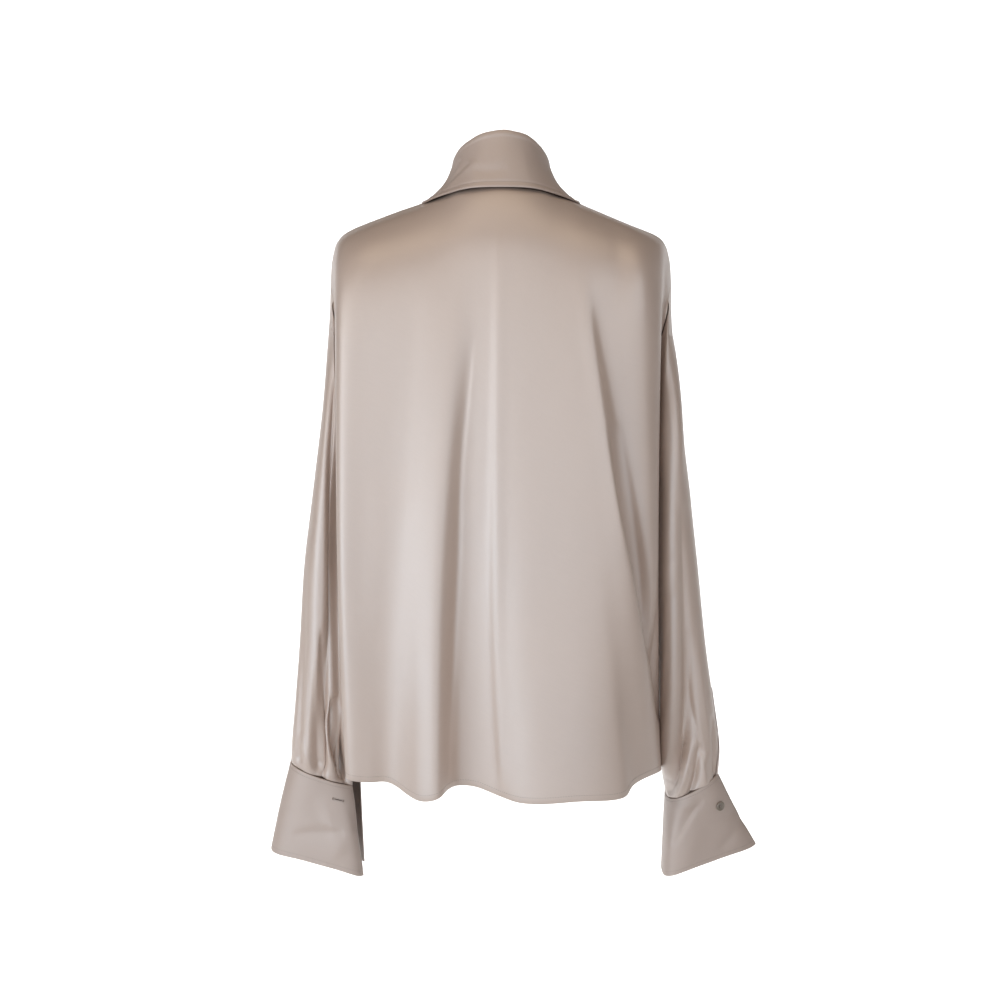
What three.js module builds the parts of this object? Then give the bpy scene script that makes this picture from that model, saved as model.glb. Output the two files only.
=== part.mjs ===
// A long-sleeved satin blouse in its worn, filled-out form, with nobody in it: a back, two overlapping
// fronts, dropped sleeves with pleats and an open slit above each cuff, deep flared cuffs worn
// unbuttoned, a tall collar stand and a turned-down collar leaf, and small round buttons.
// Millimetres. +X is the wearer's right, +Y the wearer's front, +Z up.
// The origin lies between the two shoulders, at the height of the shoulder line beside the neck.
import * as THREE from "three";

// Driving sizes.
const CLOTH = 1.6; // wall of the body and the sleeves
const CUFF_CLOTH = 2.0; // wall of the interfaced cuffs
const COLLAR_CLOTH = 1.8; // wall of the interfaced collar
const BINDING_CLOTH = 0.9; // strip sewn round each sleeve slit
const GAP = 0.35; // clear space between pieces at a seam
const OVERLAP = 14; // how far each front runs past the centre front
const LAYER = 1.25; // how far the upper front stands out of the middle layer, and the lower one in
const WAIST_Z = -400;
const UNDERARM = { x: 152, z: -225, tuckX: 155.5, tuckY: 21 };
const HEM = { z: -634, sideLift: 3, sideFrom: -130, sideTo: -165 };
const BLADE = { backZ: -95, frontZ: -108, sideDrop: 27, sideFrom: 150, sideTo: 188 };
const NECK = { halfWidth: 57, back: 64, front: 62, backZ: 14, sideZ: 9, frontZ: -31 };
const BUST = { x: 74, spread: 48, lift: 9 };
const BUTTON = { radius: 5.6, thick: 2.2, rim: 1.4, dish: 0.6 };

const SATIN = { color: 0xb9a79c, roughness: 0.42, metalness: 0 };
const SATIN_FIRM = { color: 0xb3a39b, roughness: 0.45, metalness: 0 };
const HORN = { color: 0x857566, roughness: 0.3, metalness: 0 };

/** Rows of numbers under named columns, as objects. */
function table(columns, rows) {
  const names = columns.split(" ");
  return rows.map((row) => Object.fromEntries(names.map((name, i) => [name, row[i]])));
}

// The top of the garment seen from behind, out from the neck: the line of the shoulder seam.
const SHOULDER_LINE = table("x zLeft zRight", [
  [57, 9, 9],
  [83, -5, -5],
  [111, -14, -16.5],
  [143.5, -26, -30],
  [165.5, -34.5, -38],
  [175.5, -41, -43],
  [182.5, -51.5, -53],
  [186.5, -71, -72],
  [188, -96, -96],
]);

// Fold lines of the back, from its left side seam to its right one, each a line down the cloth.
const BACK_FOLDS = table("fold xTop xBlade yBlade xWaist yWaist xHem yHem", [
  ["side seam left", -188, -180, -46, -148, 0, -151, 0],
  ["tuck left", -187.4, -179.6, -50, -151, -22, -153, -24],
  ["turn left", -186, -177.5, -58, -165, -48, -164, -50],
  ["edge left", -182.5, -171.5, -73, -174, -76, -169, -74],
  ["flank left", -175, -161, -88, -165, -92, -159, -86],
  ["panel left", -150, -139, -99, -145, -101, -141, -86],
  ["dip left", -122, -113, -106, -124, -103, -126, -79],
  ["foot of ridge 1", -97, -90, -110, -108, -108, -114, -94],
  ["ridge 1 left", -76, -74, -112.5, -95, -122, -101, -128],
  ["ridge 1", -57, -60, -114, -81, -130, -86, -152],
  ["ridge 1 right", -49, -46, -115, -67, -128, -69, -143],
  ["wall of ridge 1", -41, -36, -115.5, -56, -118, -58, -107],
  ["valley", -30, -26, -116, -43, -111, -44, -93],
  ["valley right", -17, -14, -117.5, -25, -114, -27, -98],
  ["rise of ridge 2", -3, -2, -119, -5, -124, -4, -128],
  ["ridge 2", 13, 12, -120, 16, -135, 20, -156],
  ["plateau", 31, 30, -119.5, 42, -138, 48, -160],
  ["plateau right", 46, 47, -118.5, 70, -137, 84, -150],
  ["fold 3", 57, 64, -117.5, 99, -131, 126, -137],
  ["under fold 3", 66, 74, -117, 114, -126, 138.5, -102],
  ["fold 4", 76, 86, -117.5, 141, -121, 155, -61],
  ["under fold 4", 86, 92, -111.5, 138, -98, 163, -55],
  ["panel right", 108, 112, -107.5, 147, -91, 168, -48],
  ["flank right", 150, 144, -98, 161, -86, 175, -40],
  ["edge right", 178, 163, -78, 170.5, -68, 180, -28],
  ["turn right", 185, 171, -61, 163, -42, 181, -8],
  ["tuck right", 187.4, 177, -51, 152, -18, 172, 20],
  ["side seam right", 188, 179, -46, 149, 4, 158, 40],
]);

// Fold lines of the right front, from its side seam to its overlap; the left front mirrors them.
// swing is how much further forward the right side hangs at the hem than the left.
const FRONT_FOLDS = table("fold xTop xBlade yBlade xWaist yWaist xHem yHem swing", [
  ["side seam", 188, 179, 47, 148, 0, 151, 0, 40],
  ["tuck", 187.4, 179, 51, 151, 22, 153, 24, 32],
  ["turn", 186, 177, 59, 165, 48, 162, 54, 16],
  ["edge", 182.5, 171, 73, 173, 74, 168, 84, 3],
  ["flank", 172, 158, 87, 162, 92, 156, 104, 0],
  ["dip", 140, 128, 96, 134, 100, 134, 98, 0],
  ["ridge outer", 104, 98, 101, 108, 117, 112, 134, 0],
  ["ridge inner", 76, 72, 104, 82, 124, 88, 146, 0],
  ["valley", 57, 50, 105, 56, 117, 62, 122, 0],
  ["rise", 42, 36, 105, 34, 124, 38, 128, 0],
  ["front", 25, 20, 106, 18, 130.5, 18, 145, 0],
  ["centre front", 0, 0, 106, 0, 131, 0, 146, 0],
  ["overlap", -OVERLAP, -OVERLAP, 106, -OVERLAP, 131, -OVERLAP, 145.8, 0],
]);

// How much of the hem's swing there is at the waist, and how far the hem moves out with it.
const FRONT_SWING = { waist: 0.1, outwards: 0.175 };

// Sections down each sleeve after the armhole: its outermost and innermost points and half depth.
const SLEEVE_LEFT = table("xOuter zOuter xInner zInner depth", [
  [-190, -150, -168, -240, 50],
  [-196, -225, -167, -264, 56],
  [-207, -311, -167, -326, 58],
  [-219, -401, -165, -407, 58],
  [-226, -493, -164, -498, 54],
  [-232.5, -563, -163, -572, 48],
  [-237.5, -610, -162, -629, 42],
  [-239, -631, -159.5, -657, 37],
]);
const SLEEVE_RIGHT = table("xOuter zOuter xInner zInner depth", [
  [189, -150, 168, -240, 50],
  [196, -225, 168, -264, 56],
  [208, -311, 170, -326, 58],
  [219, -401, 172, -407, 58],
  [229.5, -493, 179, -500, 55],
  [240, -563, 184, -578, 50],
  [247, -612, 187, -640, 45],
  [247.5, -639, 189, -672, 42],
]);

// Folds that run down a sleeve. Angles are degrees round it from its outer side over its back,
// from and full are the sections between which the fold deepens, and depth is inwards.
const SLEEVE_FOLDS = {
  left: table("fold angleTop angleCuff width from full depth", [
    ["long back fold", 112, 116, 30, 1, 4, 9],
    ["outer hollow", 40, 48, 26, 3, 6, 4],
    ["cuff pleat a", 84, 82, 12, 5, 7, 9],
    ["cuff pleat b", 128, 124, 13, 5.4, 7, 10],
    ["front hollow", 250, 245, 30, 1, 5, 7],
    ["front pleat a", 285, 280, 14, 5, 7, 8],
    ["front pleat b", 320, 322, 16, 4, 7, 7],
  ]),
  right: table("fold angleTop angleCuff width from full depth", [
    ["long back fold", 72, 118, 26, 2, 5, 10],
    ["inner tuck", 150, 150, 14, 5.5, 7, 7],
    ["cuff pleat", 92, 84, 12, 5.2, 7, 9],
    ["slit crease", 48, 50, 12, 4, 6.5, 5],
    ["front hollow", 250, 245, 30, 1, 5, 7],
    ["front pleat a", 278, 275, 14, 5, 7, 8],
    ["front pleat b", 215, 212, 16, 4, 7, 7],
  ]),
};

const PLEAT_PRESSED = 0.9; // how much of a pleat's depth is pressed flat at the cuff seam

// Where a sleeve starts: its distance from the armhole, and how far it stands out beside the body
// from a share of the way down the armhole on.
const SLEEVE_START = { away: 0.7, beside: 2.2, from: 0.24, full: 0.42 };

// The slit above each cuff, in degrees round the sleeve: its middle, how far it stands open above its
// start, at the cuff's seam and at the cuff's free edge, and the section at which it starts.
const SLIT = {
  left: { angle: 172, edgeAngle: 186, closed: 4, open: 70, edgeOpen: 44, from: 6.05 },
  right: { angle: -6, edgeAngle: -6, closed: 4, open: 68, edgeOpen: 68, from: 6.05 },
};

// Sections down each flared cuff, from its seam to its free edge.
const CUFF_LEFT = table("xOuter zOuter xInner zInner depth", [
  [-239, -631.6, -159.5, -657.6, 37],
  [-252.5, -683, -157.5, -709, 37],
  [-264, -733, -155, -763, 37],
]);
const CUFF_RIGHT = table("xOuter zOuter xInner zInner depth", [
  [247.5, -639.6, 189, -672.6, 42],
  [270, -683, 186.5, -716, 46],
  [295, -723, 184.5, -761, 50],
]);

// The collar leaf's free edge, in degrees round the neck from the centre back, with how far the leaf
// bows out and lifts between its roll and that edge.
const LEAF_EDGE = table("angle x y z bow lift", [
  [0, 0, -87, 8, 3, 0],
  [25, 30, -82, 7.5, 2, 0],
  [48, 54, -64, 4, -1, 0],
  [68, 72, -41, 0.5, -4, 0],
  [86, 82, -18, -2.4, -6, 0],
  [102, 86, 4, -3, -5, 1],
  [118, 87, 32, -8, 0, 4],
  [135, 82, 60, -19.5, 0, 9],
  [152, 68, 88, -39.5, 2, 13.5],
  [168, 50, 105, -72, 2, 18],
]);
const ROLL = { halfWidth: 46.5, back: 58, front: 52, middleZ: 32, rise: 32 };

const BUTTON_PLACES = { first: -74, step: -83, count: 7, cuffIn: 12, cuffDown: 0.29, stand: 184, standUp: 0.42 };

const side = (name) => (name === "left" ? -1 : 1);
const radians = THREE.MathUtils.degToRad;
const smooth = (x, from, to) => THREE.MathUtils.smoothstep(x, from, to);
const mix = THREE.MathUtils.lerp;

/** Evenly spaced values from a first to a last one. */
function steps(from, to, count) {
  return Array.from({ length: count + 1 }, (_, i) => mix(from, to, i / count));
}

/** Values between whole points: as many even steps in each interval as the list says. */
function stepsIn(counts) {
  return counts.flatMap((count, i) => steps(i, i + 1, count).slice(i ? 1 : 0));
}

/** A smooth open line through points, read at a place given in whole points from its start. */
function line(points) {
  const curve = new THREE.CatmullRomCurve3(points, false, "centripetal");
  const last = points.length - 1;
  return (place) => curve.getPoint(THREE.MathUtils.clamp(place / last, 0, 1));
}

/** A surface through a net of points: read at u along each row and v down the rows. */
function surfaceThrough(net) {
  const rows = net.map(line);
  return (u, v) => line(rows.map((row) => row(u)))(v);
}

/** The seam where the body meets the collar stand, round from the centre back. */
function neckline(angle) {
  const across = Math.sin(angle);
  const along = Math.cos(angle);
  const behind = along > 0;
  const y = -along * (behind ? NECK.back : NECK.front);
  const fall = (Math.abs(along) + 1 - Math.abs(across)) / 2;
  const z = mix(NECK.sideZ, behind ? NECK.backZ : NECK.frontZ, fall);
  return new THREE.Vector3(across * NECK.halfWidth, y, z);
}

/** Height of the shoulder line at a place across it. */
function shoulderZ(x) {
  const far = Math.abs(x);
  const z = x < 0 ? "zLeft" : "zRight";
  const next = SHOULDER_LINE.findIndex((row, i) => i > 0 && far <= row.x + 1e-6);
  const b = SHOULDER_LINE[next];
  const a = SHOULDER_LINE[next - 1];
  return mix(a[z], b[z], (far - a.x) / (b.x - a.x));
}

/** Top edge of a body panel: the shoulder seam, or the neckline between its two ends. */
function topPoint(x, front) {
  const seam = front ? GAP / 2 : -GAP / 2;
  if (Math.abs(x) >= NECK.halfWidth)
    return new THREE.Vector3(x, 5 * smooth(Math.abs(x), 60, 180) + seam, shoulderZ(x));
  const angle = Math.asin(x / NECK.halfWidth);
  const point = neckline(front ? Math.PI - angle : angle);
  return point.setY(point.y + seam);
}

/** How far a layer of the fronts lies forward and up, at a distance of its top from the centre. */
function layerShift(x, layer) {
  const near = layer * (1 - smooth(Math.abs(x), 20, NECK.halfWidth));
  return new THREE.Vector3(0, near, near);
}

/** Points down one fold line: over the shoulder, then blade, underarm, waist and hem. */
function foldPoints(row, front, layer) {
  const sign = Math.sign(row.xTop) || 1;
  const wide = smooth(Math.abs(row.xTop), BLADE.sideFrom, BLADE.sideTo);
  const level = front ? BLADE.frontZ : BLADE.backZ;
  const blade = new THREE.Vector3(row.xBlade, row.yBlade, level + (BLADE.backZ - BLADE.sideDrop - level) * wide);
  const waist = new THREE.Vector3(row.xWaist, row.yWaist, WAIST_Z);
  const lift = HEM.sideLift * smooth(-row.xHem, -HEM.sideFrom, -HEM.sideTo);
  const hem = new THREE.Vector3(row.xHem, row.yHem, HEM.z + lift);
  const under = blade.clone().lerp(waist, 0.42).setZ(UNDERARM.z);
  if (front) under.y += BUST.lift * Math.exp(-(((Math.abs(under.x) - BUST.x) / BUST.spread) ** 2));
  const seamSide = front ? 1 : -1;
  if (row.fold.startsWith("side seam")) under.set(sign * UNDERARM.x, 0, UNDERARM.z);
  if (row.fold.startsWith("tuck")) under.set(sign * UNDERARM.tuckX, seamSide * UNDERARM.tuckY, UNDERARM.z);
  const top = topPoint(row.xTop, front);
  const over = [0, 30, 60].map(radians).map((turn) => new THREE.Vector3(
    mix(top.x, blade.x, Math.sin(turn)),
    mix(top.y, blade.y, Math.sin(turn)),
    mix(top.z, blade.z, 1 - Math.cos(turn)),
  ));
  const down = [...over, blade, under, waist, hem];
  if (row.fold.startsWith("side seam")) down.slice(4).forEach((p) => (p.y += (seamSide * GAP) / 2));
  return down.map((p) => p.add(layerShift(row.xTop, layer)));
}

/** A net of points from fold lines: one row for each level, from the top to the hem. */
function netOf(folds, front, layer = 0) {
  const lines = folds.map((row) => foldPoints(row, front, layer));
  return lines[0].map((_, level) => lines.map((points) => points[level]));
}

/** The fold lines of one front: the left one mirrors the right one, and hangs without its swing. */
function frontFolds(name) {
  const sign = side(name);
  return FRONT_FOLDS.map((row) => {
    const swing = name === "right" ? row.swing : 0;
    return {
      ...row,
      xTop: sign * row.xTop,
      xBlade: sign * row.xBlade,
      xWaist: sign * row.xWaist,
      xHem: sign * (row.xHem + swing * FRONT_SWING.outwards),
      yWaist: row.yWaist + swing * FRONT_SWING.waist,
      yHem: row.yHem + swing,
    };
  });
}

const backNet = netOf(BACK_FOLDS, false);
const frontNets = {
  left: netOf(frontFolds("left"), true, -LAYER),
  right: netOf(frontFolds("right"), true, LAYER),
};
const UNDERARM_LEVEL = 4;
const HEM_LEVEL = 6;

// Rows of a body panel: from its top edge over the shoulder, then the blade, underarm, waist and hem.
const BODY_ROWS = stepsIn([1, 1, 2, 4, 3, 4]);
const UNDERARM_ROW = BODY_ROWS.indexOf(UNDERARM_LEVEL);

/** The grid of a body panel. Its side seams turn a corner at the underarm, its top at the neck. */
function bodyGrid(net, sideSeams, front, layer = 0) {
  const surface = surfaceThrough(net);
  const last = net[0].length - 1;
  return BODY_ROWS.map((level) => steps(0, last, 2 * last).map((station) => {
    if (level === 0) {
      const { x } = surface(station, 0);
      return topPoint(x, front).add(layerShift(x, layer));
    }
    if (!sideSeams.includes(station)) return surface(station, level);
    const edge = net.map((row) => row[station]);
    const above = level <= UNDERARM_LEVEL;
    return above
      ? line(edge.slice(0, UNDERARM_LEVEL + 1))(level)
      : line(edge.slice(UNDERARM_LEVEL))(level - UNDERARM_LEVEL);
  }));
}

const bodyGrids = {
  back: bodyGrid(backNet, [0, BACK_FOLDS.length - 1], false),
  front_left: bodyGrid(frontNets.left, [0], true, -LAYER),
  front_right: bodyGrid(frontNets.right, [0], true, LAYER),
};

/** A line of straight steps through points, read at a place given in whole points from its start. */
function brokenLine(points) {
  return (place) => {
    const start = THREE.MathUtils.clamp(Math.floor(place), 0, points.length - 2);
    return points[start].clone().lerp(points[start + 1], place - start);
  };
}

/**
 * The armhole that a sleeve is sewn to: from 0 at its top over the back to 1 at the underarm, and
 * over the front to 2. Its corners are the corners of the body panels.
 */
function armhole(name) {
  const edge = (grid, column) => grid.slice(0, UNDERARM_ROW + 1).map((row) => row.at(column));
  const back = edge(bodyGrids.back, name === "left" ? 0 : -1);
  const front = edge(bodyGrids[`front_${name}`], 0);
  back[0] = back[0].clone().setY((back[0].y + front[0].y) / 2);
  back[UNDERARM_ROW] = back[UNDERARM_ROW].clone().setY(0);
  const read = brokenLine([...back, ...front.slice(0, -1).reverse().with(-1, back[0])]);
  return (share) => read(THREE.MathUtils.euclideanModulo(share, 2) * UNDERARM_ROW);
}

/** A point of a section: its outermost point turned over the back of the arm. */
function sectionPoint(row, turn) {
  const out = (1 + Math.cos(turn)) / 2;
  return new THREE.Vector3(
    mix(row.xInner, row.xOuter, out),
    -row.depth * Math.sin(turn),
    mix(row.zInner, row.zOuter, out),
  );
}

/** How far the folds draw the sleeve in at an angle, in degrees, and a section. */
function foldDepth(folds, degrees, place) {
  return folds.reduce((sum, fold) => {
    const angle = mix(fold.angleTop, fold.angleCuff, THREE.MathUtils.clamp((place - fold.from) / 4, 0, 1));
    const away = THREE.MathUtils.euclideanModulo(degrees - angle + 180, 360) - 180;
    return sum + fold.depth * smooth(place, fold.from, fold.full) * Math.exp(-((away / (fold.width / 2)) ** 2));
  }, 0);
}

/** How wide the slit stands open at a section, in degrees: closed above it, open at the cuff. */
function slitWidth(slit, place, last) {
  return mix(slit.closed, slit.open, smooth(place, slit.from - 0.4, last) ** 1.3);
}

/** Angle round the sleeve of a share of the cloth, from one edge of a slit to the other. */
function slitAngle(middle, share, width) {
  return middle + width / 2 + share * (360 - width);
}

// A sleeve has two columns of cells for each row of cells beside its armhole; the last one of them
// lies across the slit.
const SLEEVE_CELLS = 4 * UNDERARM_ROW;
const SLEEVE_SHARES = steps(0, 1, SLEEVE_CELLS - 1);

/** The sleeve's middle surface: share round it from the slit, place down it from the armhole. */
function sleeveSurface(name, sections) {
  const hole = armhole(name);
  const slit = SLIT[name];
  const last = sections.length;
  const holeStart = name === "left" ? 1 : 0;
  return (share, place) => {
    const degrees = slitAngle(slit.angle, share, slitWidth(slit, place, last));
    const turn = radians(degrees);
    const points = sections.map((row) => sectionPoint(row, turn));
    const round = holeStart + (2 * share * (SLEEVE_CELLS - 1)) / SLEEVE_CELLS;
    const start = hole(round);
    const away = points[0].clone().sub(start).normalize().multiplyScalar(SLEEVE_START.away);
    const low = 1 - Math.abs(THREE.MathUtils.euclideanModulo(round, 2) - 1);
    const beside = SLEEVE_START.beside * smooth(low, SLEEVE_START.from, SLEEVE_START.full);
    start.add(away).add(new THREE.Vector3(side(name) * beside, 0, 0));
    const point = line([start, ...points])(place);
    const row = sections[THREE.MathUtils.clamp(Math.round(place) - 1, 0, last - 1)];
    const inwards = new THREE.Vector3((row.xInner + row.xOuter) / 2 - point.x, -point.y, 0).normalize();
    const sewn = 1 - PLEAT_PRESSED * smooth(place, last - 0.7, last);
    return point.addScaledVector(inwards, sewn * foldDepth(SLEEVE_FOLDS[name], degrees, place));
  };
}

/** The cuff's middle surface: share round it from its button end, place down it from its seam. */
function cuffSurface(name, sections) {
  const slit = SLIT[name];
  return (share, place) => {
    const down = place / (sections.length - 1);
    const turn = radians(slitAngle(mix(slit.angle, slit.edgeAngle, down), share, mix(slit.open, slit.edgeOpen, down)));
    return line(sections.map((row) => sectionPoint(row, turn)))(place);
  };
}

/** The collar's roll, where the leaf turns down over the stand. */
function roll(angle) {
  const along = Math.cos(angle);
  const y = -along * (along > 0 ? ROLL.back : ROLL.front);
  return new THREE.Vector3(Math.sin(angle) * ROLL.halfWidth, y, ROLL.middleZ + ROLL.rise * along);
}

const STAND_BOW = 2; // how far the stand bows out between its foot and the roll
// The leaf's turn over the roll: how far out of it and above it the turn passes, from its crest to
// the outer face.
const LEAF_TURN = { crestOut: 3.8, crestUp: 0.9, fallOut: 6.2, fallDown: 2.2, restOut: 6.8, restDown: 4 };
const STAND_END = Math.PI + OVERLAP / NECK.halfWidth;

// The corners of the body panels along the neckline, from the left front's end to the right one's.
const neckCorners = Object.entries(bodyGrids)
  .flatMap(([name, grid]) => grid[0].filter((p) => Math.abs(p.x) < NECK.halfWidth + 1e-6).map((point) => {
    const across = Math.asin(THREE.MathUtils.clamp(point.x / NECK.halfWidth, -1, 1));
    const angle = { back: across, front_left: -Math.PI - across, front_right: Math.PI - across }[name];
    return { angle, point };
  }))
  .sort((a, b) => a.angle - b.angle);

/** A point of the neckline on the straight steps between the panels' corners. */
function neckEdge(angle) {
  const next = THREE.MathUtils.clamp(neckCorners.findIndex((corner) => corner.angle >= angle), 1, neckCorners.length - 1);
  const [a, b] = [neckCorners[next - 1], neckCorners[next]];
  return a.point.clone().lerp(b.point, (angle - a.angle) / (b.angle - a.angle || 1));
}

/** How far the collar stands out at an angle, so that its right end lies over its left one. */
function collarLayer(angle) {
  return LAYER * Math.sign(angle) * smooth(Math.abs(angle), 2, 2.9);
}

/** The stand's middle surface: share round it from its left end, place up it from the neckline. */
function standSurface(share, place) {
  const angle = mix(-STAND_END, STAND_END, share);
  const foot = neckEdge(angle);
  foot.z += CLOTH / 2 + GAP;
  const head = roll(angle);
  const point = foot.clone().lerp(head, place);
  const out = new THREE.Vector3(point.x, point.y, 0).normalize();
  return point.addScaledVector(out, collarLayer(angle) + STAND_BOW * Math.sin(Math.PI * place));
}

/** The leaf's free edge at a signed angle round the neck. */
function leafEdge(angle) {
  const degrees = THREE.MathUtils.radToDeg(Math.abs(angle));
  const next = LEAF_EDGE.findIndex((row, i) => i > 0 && degrees <= row.angle + 1e-6);
  const place = next - 1 + (degrees - LEAF_EDGE[next - 1].angle) / (LEAF_EDGE[next].angle - LEAF_EDGE[next - 1].angle);
  const mirrored = { ...LEAF_EDGE[1], x: -LEAF_EDGE[1].x };
  const points = [mirrored, ...LEAF_EDGE].map((row) => new THREE.Vector3(row.x, row.y, row.z));
  const point = line(points)(place + 1);
  const between = (name) => mix(LEAF_EDGE[next - 1][name], LEAF_EDGE[next][name], place - next + 1);
  return { point: point.setX(point.x * Math.sign(angle || 1)), bow: between("bow"), lift: between("lift") };
}

const LEAF_END = radians(LEAF_EDGE.at(-1).angle);

/** The leaf's middle surface: share round it, and place from over the stand to its free edge. */
function leafSurface(share, place) {
  const angle = mix(-LEAF_END, LEAF_END, share);
  const top = roll(angle);
  const out = new THREE.Vector3(top.x, top.y, 0).normalize();
  const rise = COLLAR_CLOTH + GAP;
  const { point: edge, bow, lift } = leafEdge(angle);
  const over = (reach, height) => top.clone().addScaledVector(out, reach).setZ(top.z + height);
  const { crestOut, crestUp, fallOut, fallDown, restOut, restDown } = LEAF_TURN;
  const turned = over(restOut, -restDown);
  const half = turned.clone().lerp(edge, 0.5).addScaledVector(out, bow);
  half.z += lift;
  const points = [over(0, rise), over(crestOut, rise + crestUp), over(fallOut, rise - fallDown), turned, half, edge];
  return line(points)(place).addScaledVector(out, collarLayer(angle) * (1 - place / points.length));
}

/** Outward normals of a grid of points; a round grid's columns close on each other. */
function normalsOf(grid, round) {
  const columns = grid[0].length;
  const at = (j, i) => grid[THREE.MathUtils.clamp(j, 0, grid.length - 1)][
    round ? THREE.MathUtils.euclideanModulo(i, columns) : THREE.MathUtils.clamp(i, 0, columns - 1)];
  return grid.map((row, j) => row.map((_, i) => {
    const along = at(j, i + 1).clone().sub(at(j, i - 1));
    const down = at(j + 1, i).clone().sub(at(j - 1, i));
    return along.cross(down).normalize();
  }));
}

/**
 * A closed wall round a grid of middle points. near and far are how far its two faces lie from the
 * grid along its normals. present says which of the grid's cells are cloth, and seam which of its
 * points lie on a seam between a back and a front, where the wall is cut square to Y.
 */
function wall(grid, near, far, { round = false, present = () => true, seam = () => false } = {}) {
  const normals = normalsOf(grid, round);
  normals.forEach((row, j) => row.forEach((normal, i) => seam(j, i) && normal.setY(0).normalize()));
  const columns = grid[0].length;
  const positions = [];
  [near, far].forEach((distance) => grid.forEach((row, j) => row.forEach((point, i) => {
    positions.push(...point.clone().addScaledVector(normals[j][i], distance).toArray());
  })));
  const count = grid.length * columns;
  const id = (j, i, face) => face * count + j * columns + (i % columns);
  const cells = round ? columns : columns - 1;
  const cloth = (j, i) => {
    if (j < 0 || j >= grid.length - 1) return false;
    if (round) return present(j, THREE.MathUtils.euclideanModulo(i, cells));
    return i >= 0 && i < cells && present(j, i);
  };
  const index = [];
  const quad = (a, b, c, d) => index.push(a, b, c, a, c, d);
  for (let j = 0; j < grid.length - 1; j++)
    for (let i = 0; i < cells; i++) {
      if (!cloth(j, i)) continue;
      quad(id(j, i, 1), id(j, i + 1, 1), id(j + 1, i + 1, 1), id(j + 1, i, 1));
      quad(id(j, i, 0), id(j + 1, i, 0), id(j + 1, i + 1, 0), id(j, i + 1, 0));
      if (!cloth(j - 1, i)) quad(id(j, i + 1, 1), id(j, i, 1), id(j, i, 0), id(j, i + 1, 0));
      if (!cloth(j + 1, i)) quad(id(j + 1, i, 1), id(j + 1, i + 1, 1), id(j + 1, i + 1, 0), id(j + 1, i, 0));
      if (!cloth(j, i - 1)) quad(id(j, i, 1), id(j + 1, i, 1), id(j + 1, i, 0), id(j, i, 0));
      if (!cloth(j, i + 1)) quad(id(j + 1, i + 1, 1), id(j, i + 1, 1), id(j, i + 1, 0), id(j + 1, i + 1, 0));
    }
  return facingOut(positions, index);
}

/** An indexed geometry whose triangles face out, turned round if they enclose a negative volume. */
function facingOut(positions, index) {
  const point = (i) => new THREE.Vector3().fromArray(positions, index[i] * 3);
  let volume = 0;
  for (let i = 0; i < index.length; i += 3) volume += point(i).dot(point(i + 1).cross(point(i + 2)));
  const turned = volume < 0 ? index.reverse() : index;
  return new THREE.BufferGeometry()
    .setAttribute("position", new THREE.Float32BufferAttribute(positions, 3))
    .setIndex(turned);
}

/** Middle points of a surface, a row for each place. */
function gridOf(surface, shares, places) {
  return places.map((place) => shares.map((share) => surface(share, place)));
}

const blouse = new THREE.Group();

/** Adds one named piece of cloth or trim to the blouse. */
function add(name, geometry, finish) {
  geometry.computeVertexNormals();
  const mesh = new THREE.Mesh(geometry, new THREE.MeshStandardMaterial(finish));
  mesh.name = name;
  blouse.add(mesh);
  return mesh;
}

for (const [name, grid] of Object.entries(bodyGrids)) {
  const seam = (j, i) => j === 0 || i === 0 || (name === "back" && i === grid[0].length - 1);
  add(name, wall(grid, -CLOTH / 2, CLOTH / 2, { seam }), SATIN);
}

// The sleeves, their slit bindings and cuffs. The last column of cells lies across the slit.
const SLEEVE_ROWS = [0, 0.35, 0.8, 1.4, 2, 2.6, 3.2, 3.8, 4.4, 5, 5.5, 6, 6.5, 7, 7.5, 8];
const BINDING_WIDTH = 0.032; // as a share of the way round the sleeve
const CUFF_COLUMNS = 26;
const sleeveSections = { left: SLEEVE_LEFT, right: SLEEVE_RIGHT };
const cuffSections = { left: CUFF_LEFT, right: CUFF_RIGHT };

/** A round button lying on a surface point, its back a seam gap off the cloth. */
function button(name, point, normal, standOff) {
  const { radius, thick, rim, dish } = BUTTON;
  const profile = [
    [0, 0],
    [radius * 0.8, 0],
    [radius, thick * 0.45],
    [radius * 0.92, thick],
    [radius - rim, thick * 0.95],
    [radius - rim - dish, thick - dish],
    [0, thick - dish],
  ].map(([x, y]) => new THREE.Vector2(x, y));
  const mesh = add(name, new THREE.LatheGeometry(profile, 12), HORN);
  mesh.quaternion.setFromUnitVectors(new THREE.Vector3(0, 1, 0), normal);
  mesh.position.copy(point).addScaledVector(normal, standOff + GAP);
}

/** The point and the normal of a surface, the normal pointing away from an inner point. */
function pointAndNormal(surface, share, place, inside) {
  const small = 1e-3;
  const point = surface(share, place);
  const along = surface(share + small, place).sub(point);
  const down = surface(share, place + small).sub(point);
  const normal = along.cross(down).normalize();
  if (normal.dot(point.clone().sub(inside)) < 0) normal.negate();
  return { point, normal };
}

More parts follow.
